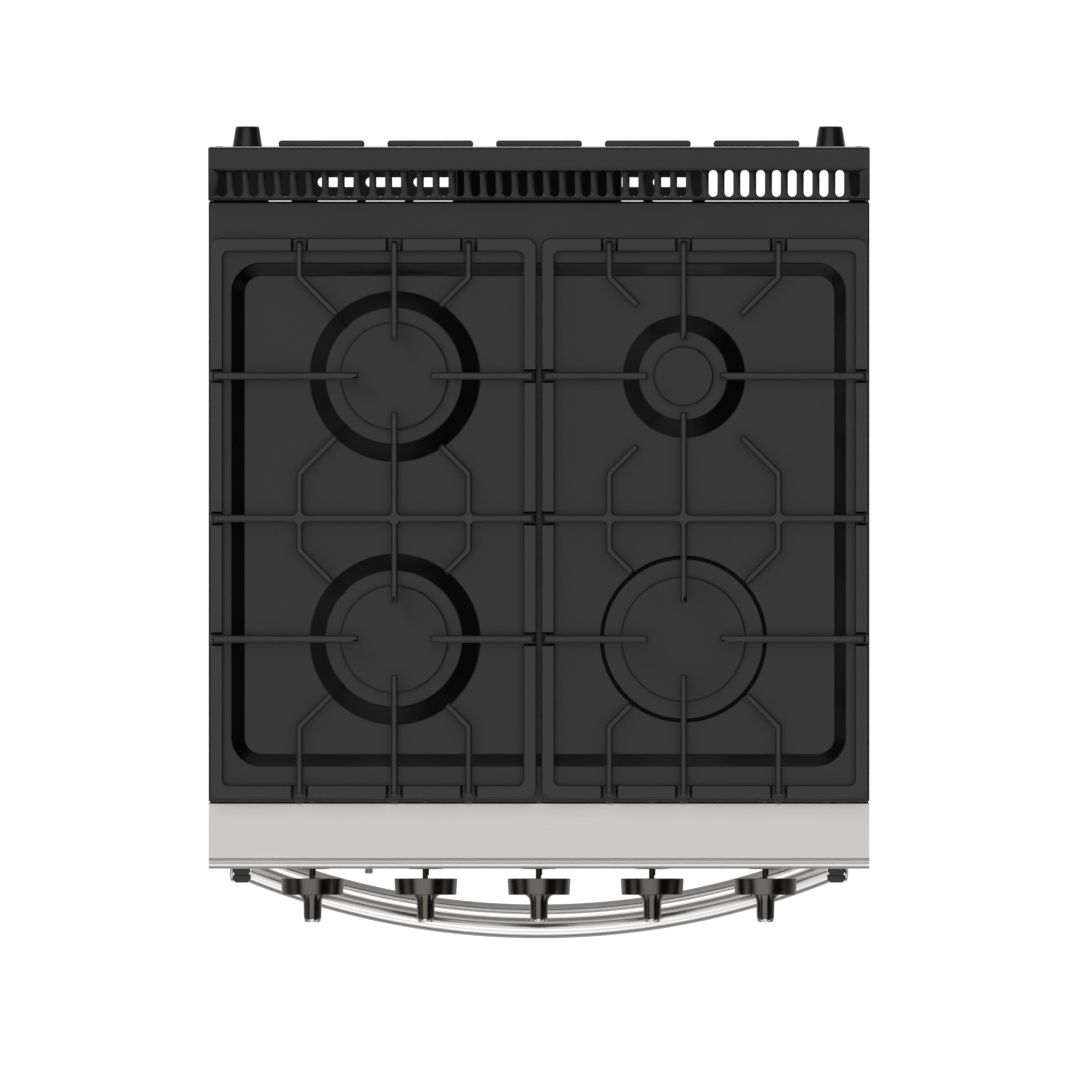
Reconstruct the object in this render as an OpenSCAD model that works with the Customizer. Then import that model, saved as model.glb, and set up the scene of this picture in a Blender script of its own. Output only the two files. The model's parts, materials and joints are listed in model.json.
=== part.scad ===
/* [Cabinet] */
// Width of the cabinet over the cooktop
body_w = 607; // [590:1:640]
// Thickness of the cabinet sheets
sheet = 1.2; // [1:0.1:1.5]
// Height of the cooktop rim above the floor
rim_z = 905; // [900:1:910]
// Height of the levelling feet
foot_h = 45; // [40:1:50]

/* [Cooktop] */
// Depth of the pressed well below the rim
well_depth = 8; // [6:0.5:10]
// Height of the pan supports above the rim
grate_h = 37; // [36:1:45]
// Width of a pan support finger
finger_w = 5.6; // [5:0.1:7]

/* [Controls] */
// Number of knobs
knob_count = 5; // [5:1:5]
// Distance between neighbouring knobs
knob_pitch = 104.2; // [95:0.1:108]
// Radius of the knob skirt at its back
knob_r = 29; // [26:0.5:31]
// Backward lean of the control panel face in degrees
panel_tilt = 0; // [0:0.1:4]

/* [Oven] */
// Half of the cavity width
cavity_hw = 235; // [225:1:240]
// Height of the oven floor above the ground
oven_floor_z = 300; // [295:1:305]
// Height of the cavity roof above the ground
oven_roof_z = 715; // [700:1:720]

/* [Doors] */
// Outer radius of the handle tubes
tube_r = 9.2; // [8:0.1:9.5]
// Radius of the bow of the handle tubes
bow_r = 712; // [700:1:760]

/* [Hidden] */
$fn = 48;
eps = 0.01;
screw_r = 1.9;
back_screw_x = 295;
BACK_SCREW_Z = [150, 350, 550, 750];
liner_screw_x = 274;
LINER_SCREW_Z = [300, 480, 660];
cut = 2;

// Depth positions, front is -Y
back_y = 352.5;
channel_y = 296;
top_back_y = 303.6;
top_front_y = -248;
frame_y = -260;
door_back_y = -266;
door_y = -301;
drawer_back_y = -266;
drawer_y = -288;
bumper_len = 21.5;
louvre_depth = 6.5;

// Heights
half_w = body_w / 2;
side_hw = half_w - 1;
panel_top_z = rim_z - 6;
panel_bot_z = 777;
door_z0 = 243;
door_z1 = 765;
drawer_z0 = 62;
drawer_z1 = 236;
skirt_z = rim_z - 25;
floor_z = rim_z - well_depth;
guard_z = rim_z + 55;

// Control panel face and the knob axes
face_ref_y = -309.4;
face_ref_z = 897;
bend_r = 7.4;
knob_z = 820;
skirt_back = 9.6;
skirt_len = 15;
knob_len = 40;
blade_w = 16.6;
shaft_r = 3;
run_gap = 0.05;
button_x = -156.6;
button_r = 3.5;

// Burners: x, y, cap radius, seat height, cup radius
LARGE = 49.3;
SMALL = 27.2;
POWER = 57.2;
burner_x = 132.8;
rear_by = 143.1;
front_by = -98.4;
BURNERS = [
    [-burner_x, rear_by, LARGE, rim_z, 36],
    [burner_x, rear_by, SMALL, rim_z, 18],
    [-burner_x, front_by, LARGE, rim_z, 36],
    [burner_x, front_by, POWER, floor_z, 43]];

// Pressed well of the cooktop
well_hw = 282.2;
well_y0 = -215.3;
well_y1 = 246.9;
well_r = 27;
well_foot_r = 15.8;
boss_flat = 12.9;
boss_foot = 29.5;
finger_z = rim_z + grate_h;

// Oven door hinge
hinge_y = -291;
hinge_z = 252;
hinge_x = 275;
bow_tip_y = -365.8;
mount_x0 = 266.4;
mount_x1 = 282.4;
door_handle_z = 715;
drawer_handle_z = 190;
drawer_handle_setback = 8.7;

// ---------- helpers ----------
module box(x0, x1, y0, y1, z0, z1) {
    translate([x0, y0, z0]) cube([x1 - x0, y1 - y0, z1 - z0]);
}

module sides() {
    for (s = [0, 1]) mirror([s, 0, 0]) children();
}

module slot_x(cx, cy, length, width, z0, h) {
    travel = (length - width) / 2;
    for (s = [-1, 1]) translate([cx + s * travel, cy, z0]) cylinder(h = h, d = width);
    box(cx - travel, cx + travel, cy - width / 2, cy + width / 2, z0, z0 + h);
}

module slot_y(cx, cy, length, width, z0, h) {
    translate([cx, cy, 0]) rotate([0, 0, 90]) slot_x(0, 0, length, width, z0, h);
}

module rod(a, b, r) {
    d = b - a;
    len = norm(d);
    translate(a) rotate([0, acos(d[2] / len), atan2(d[1], d[0])]) cylinder(h = len, r = r, $fn = 24);
}

module pipe_run(points, r) {
    for (i = [0 : len(points) - 2]) rod(points[i], points[i + 1], r);
    for (i = [1 : len(points) - 2]) translate(points[i]) sphere(r = r * 1.18, $fn = 24);
}

// Depth of the control panel face at height z
function face_at(z) = face_ref_y - (face_ref_z - z) * tan(panel_tilt);

module at_face(x) {
    translate([x, face_at(knob_z), knob_z]) rotate([90 - panel_tilt, 0, 0]) children();
}

module at_knob(i) {
    at_face((i - (knob_count + 1) / 2) * knob_pitch) children();
}

module profile_x(x0, x1) {
    translate([x0, 0, 0]) rotate([90, 0, 90]) linear_extrude(x1 - x0) children();
}

module rounded_rect(x0, x1, y0, y1, r) {
    for (x = [x0 + r, x1 - r]) for (y = [y0 + r, y1 - r]) translate([x, y]) circle(r = r);
    translate([x0 + r, y0]) square([x1 - x0 - 2 * r, y1 - y0]);
    translate([x0, y0 + r]) square([x1 - x0, y1 - y0 - 2 * r]);
}

// ---------- cabinet ----------
module back_screw_holes() {
    for (x = [-back_screw_x, back_screw_x]) for (z = BACK_SCREW_Z)
        translate([x, back_y - 5, z]) rotate([-90, 0, 0]) cylinder(h = 10, r = screw_r + 0.1);
}

module side_panel() {
    flange = 14;
    top_z = skirt_z + 20;
    box(side_hw - sheet, side_hw, frame_y, back_y, foot_h, skirt_z - 1);
    box(side_hw - flange, side_hw - sheet, frame_y, frame_y + sheet, foot_h, skirt_z - 1);
    difference() {
        box(side_hw - flange, side_hw - sheet, back_y - sheet, back_y, foot_h, skirt_z - 6);
        back_screw_holes();
    }
    box(side_hw - 4, side_hw - 4 + sheet, top_front_y + 6, channel_y, skirt_z - 1, top_z);
    box(side_hw - 4, side_hw, top_front_y + 6, channel_y, skirt_z - 1 - sheet, skirt_z - 1);
}

module side_panel_left() { color("#2b2b2b") mirror([1, 0, 0]) side_panel(); }
module side_panel_right() { color("#2b2b2b") side_panel(); }

module back_panel() {
    rib_w = 12;
    color("#b9bcbd") {
        difference() {
            box(-side_hw, side_hw, back_y, back_y + 1, foot_h + 60, guard_z - 3);
            for (x = [-200 : 100 : 200]) box(x - 34, x + 34, back_y - cut, back_y + cut, 846, 862);
            back_screw_holes();
        }
        for (z = [240, 430, 620])
            box(-side_hw + 30, side_hw - 30, back_y + 1, back_y + 3, z, z + rib_w);
    }
}

module rear_louvres() {
    louvre_w = 79;
    louvre_h = 26;
    corner = 5;
    color("#0e0e0e")
    for (x = [-200 : 100 : 200]) translate([x, back_y + 1, 842]) difference() {
        linear_extrude(louvre_h) intersection() {
            rounded_rect(-louvre_w / 2, louvre_w / 2, -20, louvre_depth, corner);
            translate([-louvre_w / 2, 0]) square([louvre_w, louvre_depth]);
        }
        translate([-louvre_w / 2 + 2, -cut, -cut]) cube([louvre_w - 4, louvre_depth + cut - 1.5, louvre_h]);
    }
}

module rear_bumpers() {
    color("#101010")
    for (x = [-268.5, 268.5]) translate([x, back_y + 1, 800]) rotate([-90, 0, 0]) difference() {
        cylinder(h = bumper_len, r1 = 13.8, r2 = 10.6);
        translate([0, 0, bumper_len - 3]) cylinder(h = 3 + cut, r = 4);
    }
}

module base_pan() {
    lip = 16;
    color("#8f9294") difference() {
        union() {
            box(-side_hw + sheet, side_hw - sheet, frame_y + 4, channel_y, foot_h, foot_h + sheet);
            box(-side_hw + 16, side_hw - 16, channel_y - sheet, channel_y, foot_h + sheet, foot_h + lip);
            sides() for (y = [-230, 250]) translate([262, y, foot_h - 3]) cylinder(h = 3, r = 16);
        }
        sides() for (y = [-230, 250]) translate([262, y, foot_h - 4]) cylinder(h = 10, r = 5.05);
        for (x = [-150 : 50 : 150]) slot_y(x, 30, 160, 10, foot_h - cut, 10);
    }
}

module levelling_feet() {
    pad_r = 20;
    color("#161616") sides() for (y = [-230, 250]) translate([262, y, 0]) {
        cylinder(h = 6, r = pad_r);
        translate([0, 0, 6]) cylinder(h = 6, r1 = pad_r, r2 = 11);
        translate([0, 0, 12]) cylinder(h = foot_h + 8 - 12, r = 5);
        translate([0, 0, 20]) cylinder(h = 8, r = 9, $fn = 6);
    }
}

module liner_screw_holes() {
    sides() for (z = LINER_SCREW_Z)
        translate([liner_screw_x, frame_y + 5, z]) rotate([90, 0, 0]) cylinder(h = 10, r = screw_r + 0.1);
}

module chassis_frame() {
    post = 28;
    frame_top = 800;
    color("#7f8284") difference() {
        union() {
            box(-side_hw, side_hw, frame_y - 2, frame_y, foot_h + 16, frame_top);
            sides() {
                box(272, 276, frame_y, channel_y - 6, 120, 150);
                box(268, 272, frame_y, 240, 120, 123);
                box(276, side_hw - sheet, 60, 75, 124, 146);
                box(268, side_hw - sheet, channel_y - 8, channel_y - 6, 120, 740);
            }
        }
        box(-264, 264, frame_y - 10, frame_y + 10, 242, 738);
        box(-side_hw + post, side_hw - post, frame_y - 10, frame_y + 10, foot_h + 20, 228);
        sides() box(hinge_x - 4, hinge_x + 4, frame_y - 10, frame_y + 10, hinge_z - 8, hinge_z + 6);
        liner_screw_holes();
    }
}

// ---------- cooktop ----------
module well_block(grow, z_low, z_high) {
    hull() for (x = [well_r - well_hw, well_hw - well_r]) for (y = [well_y0 + well_r, well_y1 - well_r])
        translate([x, y, z_low]) cylinder(h = z_high - z_low, r1 = well_foot_r + grow, r2 = well_r + grow,
            $fn = 32);
}

module boss_shell(b) {
    top_r = b[2] + boss_flat;
    foot_r = b[2] + boss_foot;
    wall = 1.2;
    rotate_extrude() polygon([
        [b[4] - 2, b[3]], [top_r, b[3]], [foot_r, floor_z], [foot_r, floor_z - wall],
        [foot_r - 0.7, floor_z - wall], [top_r - 0.7, b[3] - wall], [b[4] - 2, b[3] - wall]]);
}

module cooktop() {
    well_wall = 1.2;
    color("#1c1c1c") difference() {
        union() {
            difference() {
                box(-half_w, half_w, top_front_y, top_back_y, skirt_z, rim_z);
                box(-half_w + sheet, half_w - sheet, top_front_y + sheet, top_back_y - sheet,
                    skirt_z - cut, rim_z - sheet);
                well_block(0, floor_z - eps, rim_z + eps);
            }
            difference() {
                well_block(1, floor_z - well_wall, rim_z - 0.4);
                well_block(0, floor_z, rim_z + 0.2);
                for (i = [0 : 2]) let (b = BURNERS[i])
                    translate([b[0], b[1], floor_z - 5]) cylinder(h = 10, r = b[2] + boss_foot);
            }
            for (i = [0 : 2]) let (b = BURNERS[i]) translate([b[0], b[1], 0]) boss_shell(b);
            let (b = BURNERS[3]) translate([b[0], b[1], floor_z - 3.2])
                cylinder(h = 2.4, r = b[2] + 20.8);
        }
        for (b = BURNERS) translate([b[0], b[1], b[3] - 6]) cylinder(h = 12, r = b[4] + 0.6);
        for (b = BURNERS) electrode_place(b) translate([0, 0, -6]) cylinder(h = 12, r = 3.2);
        let (b = BURNERS[3]) translate([b[0], b[1], floor_z - 2]) difference() {
            cylinder(h = 5, r = b[2] + 19.5);
            translate([0, 0, -1]) cylinder(h = 7, r = b[2] + 15.8);
        }
    }
}

module backguard() {
    front_y = 304.5;
    crease_y = 334;
    top_low = guard_z - 5;
    color("#1c1c1c") difference() {
        union() {
            profile_x(-half_w, half_w) polygon([
                [front_y, skirt_z], [front_y, top_low], [crease_y, guard_z], [back_y, guard_z],
                [back_y, guard_z - 12], [back_y - sheet, guard_z - 12], [back_y - sheet, guard_z - sheet],
                [crease_y, guard_z - sheet], [front_y + sheet, top_low - sheet],
                [front_y + sheet, skirt_z]]);
            for (x = [-half_w, half_w - sheet]) profile_x(x, x + sheet) polygon([
                [front_y + 0.5, skirt_z], [front_y + 0.5, top_low - 0.5], [crease_y, guard_z - 0.5],
                [back_y - 0.5, guard_z - 0.5], [back_y - 0.5, skirt_z]]);
        }
        for (i = [-20 : 20]) slot_y(i * 14.52, 319.65, 24.5, 7.9, top_low - 8, 30);
    }
}

module flue_duct() {
    duct_hw = 76;
    duct_y0 = 306;
    duct_y1 = 338;
    wall = 1;
    plate_z = skirt_z - 3;
    duct_top = guard_z - 14;
    slot_h = 3 * cut;
    color("#6d6f70") difference() {
        union() {
            box(-duct_hw, duct_hw, duct_y0, duct_y1, 640, duct_top);
            box(-duct_hw, duct_hw, 201.2, duct_y0 + wall, 640, 690);
            difference() {
                box(-side_hw + 3, side_hw - 3, channel_y + 1, 350, plate_z, plate_z + wall);
                box(152.7, 284.6, 300, 346, plate_z - cut, plate_z + cut);
                for (k = [0, 1, 2, 6, 7]) for (y = [321.5, 304])
                    slot_x(-185.3 + 44 * k, y, k == 6 ? 34 : 36, 8.7, plate_z - cut, slot_h);
                slot_x(-238, 304, 21, 8.7, plate_z - cut, slot_h);
                translate([-284, 304, plate_z - cut]) cylinder(h = slot_h, r = 2);
            }
        }
        box(-duct_hw + wall, duct_hw - wall, duct_y0 + wall, duct_y1 - wall, 641, duct_top + cut);
        box(-duct_hw + wall, duct_hw - wall, 200, duct_y0 + 2 * wall, 641, 689);
    }
}

// ---------- controls ----------
module control_panel() {
    t = sheet;
    lip = 16;
    edge_y = face_at(panel_top_z) + bend_r;
    bend_z = panel_top_z - bend_r;
    lip_y = face_at(panel_bot_z);
    rear_y = top_front_y - 1;
    color("#c9c6c2") difference() {
        union() {
            profile_x(-half_w, half_w) polygon([
                [rear_y, panel_top_z],
                for (a = [0 : 15 : 90]) [edge_y - bend_r * sin(a), bend_z + bend_r * cos(a)],
                [lip_y, panel_bot_z], [lip_y + lip, panel_bot_z], [lip_y + lip, panel_bot_z + t],
                [lip_y + t, panel_bot_z + t],
                for (a = [90 : -15 : 0]) [edge_y - (bend_r - t) * sin(a), bend_z + (bend_r - t) * cos(a)],
                [rear_y - t, panel_top_z - t],
                [rear_y - t, panel_top_z - 14], [rear_y, panel_top_z - 14]]);
            for (x = [-half_w, half_w - t]) profile_x(x, x + t) polygon([
                [rear_y - 0.5, panel_top_z - 0.5], [edge_y, panel_top_z - 0.5],
                [face_at(bend_z) + 0.5, bend_z], [lip_y + 0.5, panel_bot_z + 0.5],
                [frame_y - 2.4, panel_bot_z + 0.5], [frame_y - 2.4, skirt_z + 1],
                [rear_y - 0.5, skirt_z + 1]]);
        }
        for (i = [1 : knob_count]) at_knob(i) translate([0, 0, -10]) cylinder(h = 20, r = 6);
        at_face(button_x) translate([0, 0, -10]) cylinder(h = 20, r = button_r + 0.3);
    }
}

module knob_bezels() {
    color("#9a9894") for (i = [1 : knob_count]) at_knob(i) difference() {
        union() {
            cylinder(h = 0.5, r = 16);
            translate([0, 0, 0.5]) cylinder(h = 0.4, r1 = 16, r2 = 15.6);
            translate([0, 0, -3]) cylinder(h = 3, r = 5.8);
        }
        translate([0, 0, -5]) cylinder(h = 12, r = shaft_r + 0.4);
    }
}

module valve_spindle(i) {
    color("#1a1a1a") at_knob(i) {
        difference() {
            translate([0, 0, -30]) cylinder(h = 30 + skirt_back + 15, r = shaft_r);
            translate([2, -5, skirt_back - 3]) cube([5, 10, 24]);
        }
        translate([0, 0, -42]) cylinder(h = 16.9, r1 = 4.6, r2 = 6);
    }
}

module knob(i) {
    blade_len = knob_len - skirt_len;
    fillet = 7;
    half = blade_w / 2;
    tip = 2;
    color("#3a3835") at_knob(i) translate([0, 0, skirt_back]) difference() {
        union() {
            cylinder(h = skirt_len - 0.8, r1 = knob_r, r2 = knob_r - 0.9);
            translate([0, 0, skirt_len - 0.8]) cylinder(h = 0.8, r1 = knob_r - 0.9, r2 = knob_r - 1.7);
            intersection() {
                translate([0, 0, skirt_len - 1]) cylinder(h = blade_len + 1, r = knob_r - 2.6);
                rotate([90, 0, 0]) translate([0, 0, -40]) linear_extrude(80) difference() {
                    polygon([[-half - fillet, skirt_len - 1], [half + fillet, skirt_len - 1],
                        [half + fillet, skirt_len], [half, skirt_len + fillet],
                        [half - 0.4, knob_len - tip], [half - tip, knob_len],
                        [tip - half, knob_len], [0.4 - half, knob_len - tip],
                        [-half, skirt_len + fillet], [-half - fillet, skirt_len]]);
                    for (s = [-1, 1]) translate([s * (half + fillet), skirt_len + fillet]) circle(r = fillet);
                }
            }
        }
        difference() {
            translate([0, 0, -1]) cylinder(h = 21, r = shaft_r + run_gap);
            translate([2 + run_gap, -5, 1]) cube([5, 10, 25]);
        }
        translate([0, 0, -1]) difference() {
            cylinder(h = 6, r = knob_r - 4);
            translate([0, 0, -1]) cylinder(h = 8, r = 7);
        }
    }
}

module igniter_button() {
    color("#8d8d8b") at_face(button_x) {
        translate([0, 0, -10]) cylinder(h = 14, r = button_r);
        translate([0, 0, 4]) cylinder(h = 1, r1 = button_r, r2 = button_r - 1);
        translate([0, 0, -12]) cylinder(h = 3, r = button_r + 2);
    }
}

// ---------- gas train ----------
module gas_manifold() {
    rail_z = -58;
    body_r = 11;
    color("#a9a18c") {
        difference() {
            union() {
                at_face(0) translate([-270, 0, rail_z]) rotate([0, 90, 0]) cylinder(h = 530, r = 9);
                for (i = [1 : knob_count]) at_knob(i) {
                    translate([0, 0, rail_z]) cylinder(h = -rail_z - 24, r = body_r);
                    translate([0, 4, -36]) rotate([-90, 0, 0]) cylinder(h = 14, r = 5.5);
                }
            }
            for (i = [1 : knob_count]) at_knob(i) {
                translate([0, 0, -42.5]) cylinder(h = 17.5, r1 = 4.7, r2 = 6 + run_gap);
                translate([0, 0, -27]) cylinder(h = 10, r = shaft_r + run_gap);
            }
        }
    }
}

module gas_pipes() {
    feed_r = 4;
    supply_r = 10.6;
    run_z = 862;
    start_y = -273.4;
    low_z = 838;
    color("#c2c4c6") {
        pipe_run([[-262, 325, 118], [-262, 325, 800], [-286, 300, 815], [-286, -251.4, 820],
            [-270.5, -251.4, 820]], 7);
        translate([-262, 325, 110]) cylinder(h = 30, r = supply_r);
        translate([-262, 325, 142]) cylinder(h = 10, r = 14, $fn = 6);
        pipe_run([[-2 * knob_pitch, start_y, low_z], [-2 * knob_pitch, start_y, run_z],
            [-2 * knob_pitch, rear_by, run_z], [-burner_x - 36.4, rear_by, run_z]], feed_r);
        pipe_run([[2 * knob_pitch, start_y, low_z], [2 * knob_pitch, start_y, run_z],
            [2 * knob_pitch, rear_by, run_z], [burner_x + 18.4, rear_by, run_z]], feed_r);
        pipe_run([[-knob_pitch, start_y, low_z], [-knob_pitch, start_y, run_z],
            [-knob_pitch, front_by - 27, run_z]], feed_r);
        pipe_run([[knob_pitch, start_y, low_z], [knob_pitch, start_y, run_z],
            [knob_pitch, front_by - 36, run_z]], feed_r);
        pipe_run([[0, start_y, low_z], [0, start_y, run_z], [0, 262, run_z], [-110, 262, run_z],
            [-110, 262, 278], [0, 262, 278], [0, 190, 278]], feed_r);
    }
}

module electrode_place(b) {
    a = b[0] < 0 ? -45 : 225;
    r = b[2] - 3.4;
    translate([b[0] + r * cos(a), b[1] + r * sin(a), b[3]]) children();
}

module burner_cups() {
    color("#a8a9aa") for (b = BURNERS) translate([b[0], b[1], 0]) difference() {
        union() {
            translate([0, 0, b[3] - 48]) cylinder(h = 48, r = b[4]);
            translate([0, 0, b[3] + 0.05]) cylinder(h = 2, r = b[4] + 3);
            translate([0, 0, b[3] - eps]) cylinder(h = 1, r = b[4]);
        }
        translate([0, 0, b[3] - 44]) cylinder(h = 60, r = b[4] - 3);
    }
    color("#b8a860") for (b = BURNERS) translate([b[0], b[1], b[3] - 44.01]) cylinder(h = 14, r = 5);
}

module burner_head(b) {
    head_r = b[2] - 6.5;
    seat = b[3] + 2.2;
    ring_h = 8.8;
    ports = round(head_r * 0.62);
    color("#b3b4b5") translate([b[0], b[1], seat]) difference() {
        union() {
            cylinder(h = ring_h, r = head_r);
            translate([0, 0, -3]) cylinder(h = 3.01, r = b[4] - 3.3);
        }
        translate([0, 0, -5]) cylinder(h = 20, r = b[4] - 6.5);
        for (k = [0 : ports - 1]) rotate([0, 0, 360 * (k + 0.5) / ports])
            translate([b[4] - 2, -0.8, ring_h - 3]) cube([40, 1.6, 10]);
    }
}

module burner_cap(b) {
    seat = b[3] + 11.2;
    lug_r = b[4] - 6.9;
    color("#3b3b3b") translate([b[0], b[1], seat]) {
        cylinder(h = 3.6, r = b[2]);
        translate([0, 0, 3.6]) cylinder(h = 1.4, r1 = b[2], r2 = b[2] - 1.6);
        translate([0, 0, -3]) difference() {
            cylinder(h = 3.01, r = lug_r);
            translate([0, 0, -1]) cylinder(h = 4, r = lug_r - 2);
        }
    }
}

module burner_head_rear_left() { burner_head(BURNERS[0]); }
module burner_head_rear_right() { burner_head(BURNERS[1]); }
module burner_head_front_left() { burner_head(BURNERS[2]); }
module burner_head_front_right() { burner_head(BURNERS[3]); }
module burner_cap_rear_left() { burner_cap(BURNERS[0]); }
module burner_cap_rear_right() { burner_cap(BURNERS[1]); }
module burner_cap_front_left() { burner_cap(BURNERS[2]); }
module burner_cap_front_right() { burner_cap(BURNERS[3]); }

module burner_electrodes() {
    color("#ece9e0") for (b = BURNERS) electrode_place(b) {
        translate([0, 0, -26]) cylinder(h = 32, r = 2.6);
        translate([0, 0, 6]) cylinder(h = 3, r = 1);
    }
}

// ---------- pan supports ----------
G_OUT = 302.2;
G_IN = 2.3;
G_REAR = 269.6;
G_FRONT = -244.7;
G_BAND = 12;
finger_h = 10;
band_z = finger_z - 14;
dip_z = rim_z + 7;
FINGER_X = [219.9, 132.8, 64.6];
BAR_Y = [143.1, 12.4, -98.4];

function unit(v) = v / norm(v);
function left_of(v) = [-v[1], v[0]];

// Point i of a strip's edge, mitred at its bends
function edge_point(p, i, off) =
    let (a = i > 0 ? unit(p[i] - p[i - 1]) : unit(p[1] - p[0]))
    let (b = i < len(p) - 1 ? unit(p[i + 1] - p[i]) : a)
    let (n = unit(left_of(a) + left_of(b)))
    p[i] + n * off / (n * left_of(a));

// Where a 45 degree finger from (x, y) stops short of the burner
function finger_tip(b, x, y) =
    let (reach = 76.8, d = [x > b[0] ? -1 : 1, y > b[1] ? -1 : 1] / sqrt(2))
    let (p = [x - b[0], y - b[1]], along = -(p * d))
    [x, y] + d * (along - sqrt(along * along - p * p + reach * reach));

module strip(p) {
    last = len(p) - 1;
    polygon(concat([for (i = [0 : last]) edge_point(p, i, finger_w / 2)],
        [for (i = [0 : last]) edge_point(p, last - i, -finger_w / 2)]));
}

module bar_y(x, y0, y1) { translate([x - finger_w / 2, y0]) square([finger_w, y1 - y0]); }
module bar_x(y, x0, x1) { translate([x0, y - finger_w / 2]) square([x1 - x0, finger_w]); }

module saddle(hw, depth) {
    box(-hw, hw, 0, depth, dip_z, dip_z + 6);
    for (s = [0, 1]) mirror([s, 0, 0]) box(hw - 2.6, hw, 0, depth, dip_z, band_z + 1);
    box(-finger_w / 2 + 0.2, finger_w / 2 - 0.2, 0.5, depth - 0.5, dip_z + 5, finger_z - 1);
}

module grate_half() {
    rb = BURNERS[1];
    fb = BURNERS[3];
    difference() {
        translate([0, 0, band_z]) linear_extrude(8) difference() {
            rounded_rect(G_IN, G_OUT, G_FRONT, G_REAR, 9);
            rounded_rect(G_IN + G_BAND, G_OUT - G_BAND, G_FRONT + G_BAND, G_REAR - G_BAND, 5.5);
        }
        for (x = FINGER_X) for (y = [G_FRONT - 1, G_REAR - G_BAND - 1])
            box(x - 7.4, x + 7.4, y, y + G_BAND + 2, band_z - 1, band_z + 10);
        for (y = BAR_Y) for (x = [G_IN - 1, G_OUT - G_BAND - 1])
            box(x, x + G_BAND + 2, y - 6, y + 6, band_z - 1, band_z + 10);
    }
    for (x = FINGER_X) {
        translate([x, G_FRONT, 0]) saddle(7.8, G_BAND);
        translate([x, G_REAR - G_BAND, 0]) saddle(7.8, G_BAND);
    }
    for (y = BAR_Y) {
        translate([G_OUT, y, 0]) rotate([0, 0, 90]) saddle(6.4, G_BAND);
        translate([G_IN + G_BAND, y, 0]) rotate([0, 0, 90]) saddle(6.4, G_BAND);
    }
    x_in = G_IN + 0.6;
    x_out = G_OUT - 0.6;
    y_rear = G_REAR - 2;
    y_front = G_FRONT + 2;
    translate([0, 0, finger_z - finger_h]) linear_extrude(finger_h) {
        bar_y(rb[0], 175.7, y_rear);
        bar_y(rb[0], -65.5, 110.1);
        bar_y(rb[0], y_front, -131.1);
        for (b = [rb, fb]) {
            bar_x(b[1], x_in, b[0] - 33.2);
            bar_x(b[1], b[0] + 33.2, x_out);
        }
        bar_x(BAR_Y[1], x_in, x_out);
        for (x = [FINGER_X[0], FINGER_X[2]]) {
            strip([[x, y_rear], [x, 233.7], finger_tip(rb, x, 233.7)]);
            strip([finger_tip(rb, x, 53.4), [x, 53.4], [x, -16.6], finger_tip(fb, x, -16.6)]);
            strip([[x, y_front], [x, -178.9], finger_tip(fb, x, -178.9)]);
        }
    }
}

module grate_feet() {
    color("#0c0c0c") for (x = FINGER_X) for (y = [G_FRONT + 0.9, G_REAR - 5])
        translate([x, y, rim_z]) cylinder(h = dip_z - rim_z, r = 6);
}

module grate_left() { color("#3e3e3e") mirror([1, 0, 0]) grate_half(); }
module grate_right() { color("#3e3e3e") grate_half(); }
module grate_feet_left() { mirror([1, 0, 0]) grate_feet(); }
module grate_feet_right() { grate_feet(); }

// ---------- oven ----------
liner_z0 = 262;
liner_back_y = 200;
jacket = 25;

module rack_ribs() {
    sides() for (z = [440, 510, 580]) for (dz = [-8, 9])
        box(cavity_hw - 9, cavity_hw, -248, 180, z + dz - 1.5, z + dz + 1.5);
}

module oven_liner() {
    front = frame_y - 2;
    wall = 1.2;
    color("#23252a") difference() {
        union() {
            box(-cavity_hw - wall, cavity_hw + wall, front, liner_back_y + wall,
                liner_z0 - wall, oven_roof_z + wall);
            box(-284, 284, front - wall, front, 259, 736);
        }
        difference() {
            box(-cavity_hw, cavity_hw, front - 10, liner_back_y, liner_z0, oven_roof_z);
            rack_ribs();
        }
        box(-70, 70, 190, 210, 645, 685);
        translate([0, 190, 278]) rotate([-90, 0, 0]) cylinder(h = 20, r = 5);
        liner_screw_holes();
    }
}

module oven_insulation() {
    out_x = cavity_hw + jacket + 2;
    wall = 1.3;
    color("#d8cf9c") difference() {
        box(-out_x, out_x, frame_y + 1, liner_back_y + jacket + 3, 240, 740);
        box(-cavity_hw - wall, cavity_hw + wall, frame_y - 10, liner_back_y + wall,
            liner_z0 - wall, oven_roof_z + wall);
        box(-77, 77, 190, 260, 639, 691);
        translate([0, 190, 278]) rotate([-90, 0, 0]) cylinder(h = 60, r = 6);
    }
}

module oven_floor_plate() {
    color("#2a2c31") {
        difference() {
            box(-cavity_hw + 2, cavity_hw - 2, -250, 196, oven_floor_z - 1.2, oven_floor_z);
            sides() for (k = [0 : 7]) slot_y(212, -215 + k * 52, 34, 8, oven_floor_z - 4, 8);
        }
        sides() box(cavity_hw - 4, cavity_hw - 2, -250, 196, liner_z0, oven_floor_z - 1.2);
    }
}

module oven_burner() {
    tube = 11;
    leg_x = 90;
    front_y = -150;
    z = 278;
    color("#8f8f8c") difference() {
        union() {
            sides() translate([leg_x, 150, z]) rotate([90, 0, 0]) cylinder(h = 150 - front_y, r = tube);
            translate([-leg_x, 150, z]) rotate([0, 90, 0]) cylinder(h = 2 * leg_x, r = tube + 0.5);
            translate([0, 150, z]) rotate([-90, 0, 0]) cylinder(h = 45, r = tube - 1);
            sides() box(leg_x - 6, leg_x + 6, front_y, front_y + 8, liner_z0, z - 5);
        }
        translate([0, 185, z]) rotate([-90, 0, 0]) cylinder(h = 20, r = 7);
        sides() for (k = [0 : 13]) translate([leg_x, front_y + 20 + k * 19, z])
            rotate([0, 60, 0]) cylinder(h = 20, r = 1.6);
    }
}

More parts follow.
